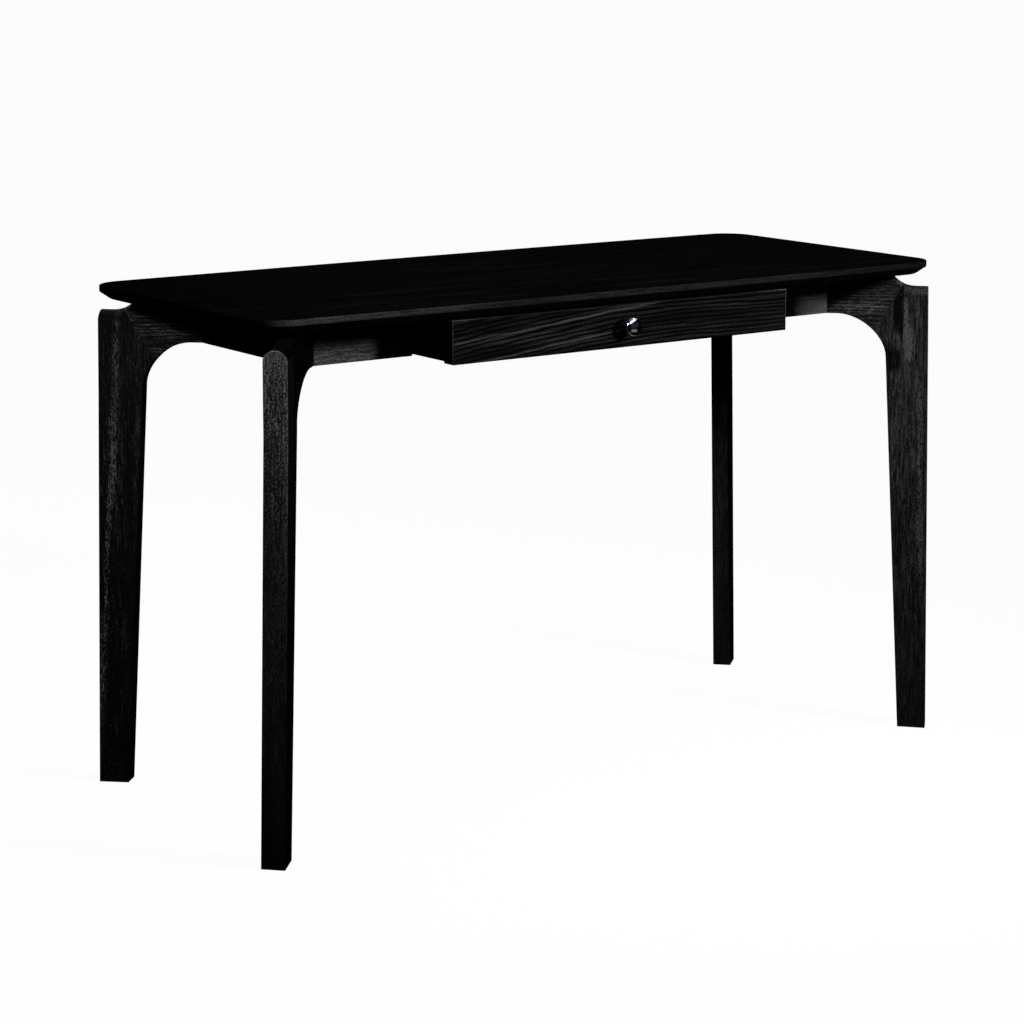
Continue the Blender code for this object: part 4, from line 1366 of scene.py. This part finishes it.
def aimed(name, data, place, aim):
    """A light at a place, turned towards aim."""
    light = shown(name, data)
    light.location = place
    light.rotation_euler = (Vector(aim) - Vector(place)).to_track_quat("-Z", "Y").to_euler()
    light.visible_camera = False
    return light


def ceiling_light(name, power):
    data = bpy.data.lights.new(name, "AREA")
    data.shape = "RECTANGLE"
    data.size, data.size_y = CEILING_SIZE
    data.energy = power
    return aimed(name, data, CEILING_PLACE, (0, 0, 0))


def lamp(
    name,
    azimuth,
    elevation,
    power,
    distance=3.4,
    centre=(0.0, 0.0, 0.6),
    aim_height=0.5,
    size=0.6,
    cone=55,
):
    """A soft round lamp at a distance from centre, aimed above or below it."""
    data = bpy.data.lights.new(name, "SPOT")
    data.energy = power
    data.shadow_soft_size = size / 2
    data.spot_size = math.radians(cone)
    data.spot_blend = 1.0
    place = Vector(centre) + direction(azimuth, elevation) * distance
    return aimed(name, data, place, (centre[0], centre[1], aim_height))


def shine_on(light, pieces):
    """Only these pieces take this light; everything still casts its shadow."""
    collection = bpy.data.collections.new(light.name + "_on")
    for obj in pieces:
        collection.objects.link(obj)
    light.light_linking.receiver_collection = collection


def build_lights():
    """The legs and the drawer are lit from different sides, so each lamp has its own pieces."""
    everything = [o for o in bpy.data.objects if o.type == "MESH" and not o.hide_render]
    top = [o for o in everything if o.name.startswith("tabletop")]
    staged = [o for o in everything if o.name == "floor" or o.name.endswith("_card")]
    table = [o for o in everything if o not in top and o not in staged]
    left_lit = [o for o in table if o.name.startswith(LEFT_LIT)]
    knob = [o for o in table if o.name.startswith("knob")]
    lit = {
        "left_key": left_lit + knob,
        "right_key": [o for o in everything if o not in left_lit],
        "rear_right": table,
        "rear_left": table,
        "far_side": [o for o in table if o.name.startswith(FAR_SIDE)],
    }
    for name, pieces in lit.items():
        shine_on(lamp(name, **LAMPS[name]), pieces)
    shine_on(ceiling_light("overhead", OVERHEAD_POWER), [o for o in everything if o not in top])
    shine_on(ceiling_light("sky", SKY_POWER), top)


def build_card(name, azimuth, elevation, size, colour, glow, distance=1.2, tilt=0):
    """A small card out of sight, seen only as a reflection in the polished knob."""
    low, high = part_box("knob")
    way = direction(azimuth, elevation)
    bm = bmesh.new()
    flat = Matrix.Diagonal((*size, 1, 1))
    bmesh.ops.create_grid(bm, x_segments=1, y_segments=1, size=0.5, matrix=flat)
    mesh = mesh_from(bm, name)
    mesh.materials.append(glowing(name, 0.0, colour, glow))
    facing = way.to_track_quat("Z", "Y").to_matrix().to_4x4()
    facing = facing @ Matrix.Rotation(math.radians(tilt), 4, "Z")
    card = shown(name, mesh, Matrix.Translation((low + high) / 2 + way * distance) @ facing)
    card.visible_camera = False
    card.visible_diffuse = False
    card.visible_shadow = False


def build_world():
    """Pale to the camera and dim to everything else, so that the lamps shape the black wood."""
    world = bpy.data.worlds.new("studio")
    world.use_nodes = True
    tree = world.node_tree
    tree.nodes.clear()
    path = tree.nodes.new("ShaderNodeLightPath")
    mix = tree.nodes.new("ShaderNodeMixShader")
    out = tree.nodes.new("ShaderNodeOutputWorld")
    tree.links.new(path.outputs["Is Camera Ray"], mix.inputs["Fac"])
    for socket, grey in ((1, DIM), (2, PALE)):
        background = tree.nodes.new("ShaderNodeBackground")
        background.inputs["Color"].default_value = (grey, grey, grey, 1)
        tree.links.new(background.outputs[0], mix.inputs[socket])
    tree.links.new(mix.outputs[0], out.inputs["Surface"])
    bpy.context.scene.world = world


def build_floor():
    bm = bmesh.new()
    bmesh.ops.create_circle(bm, cap_ends=True, segments=FLOOR_STEPS, radius=FLOOR_RADIUS)
    mesh = mesh_from(bm, "floor")
    mesh.materials.append(glowing("floor", FLOOR_GREY, (1, 1, 1), PALE))
    floor = shown("floor", mesh)
    floor.visible_diffuse = False
    floor.visible_glossy = False


build_top()
build_corners()
build_frame()
build_drawer()
build_knob()
build_fittings()
build_camera()
build_floor()
for card_name, card_facts in CARDS.items():
    build_card(card_name, **card_facts)
build_lights()
build_world()
bpy.context.scene.view_settings.view_transform = "Standard"
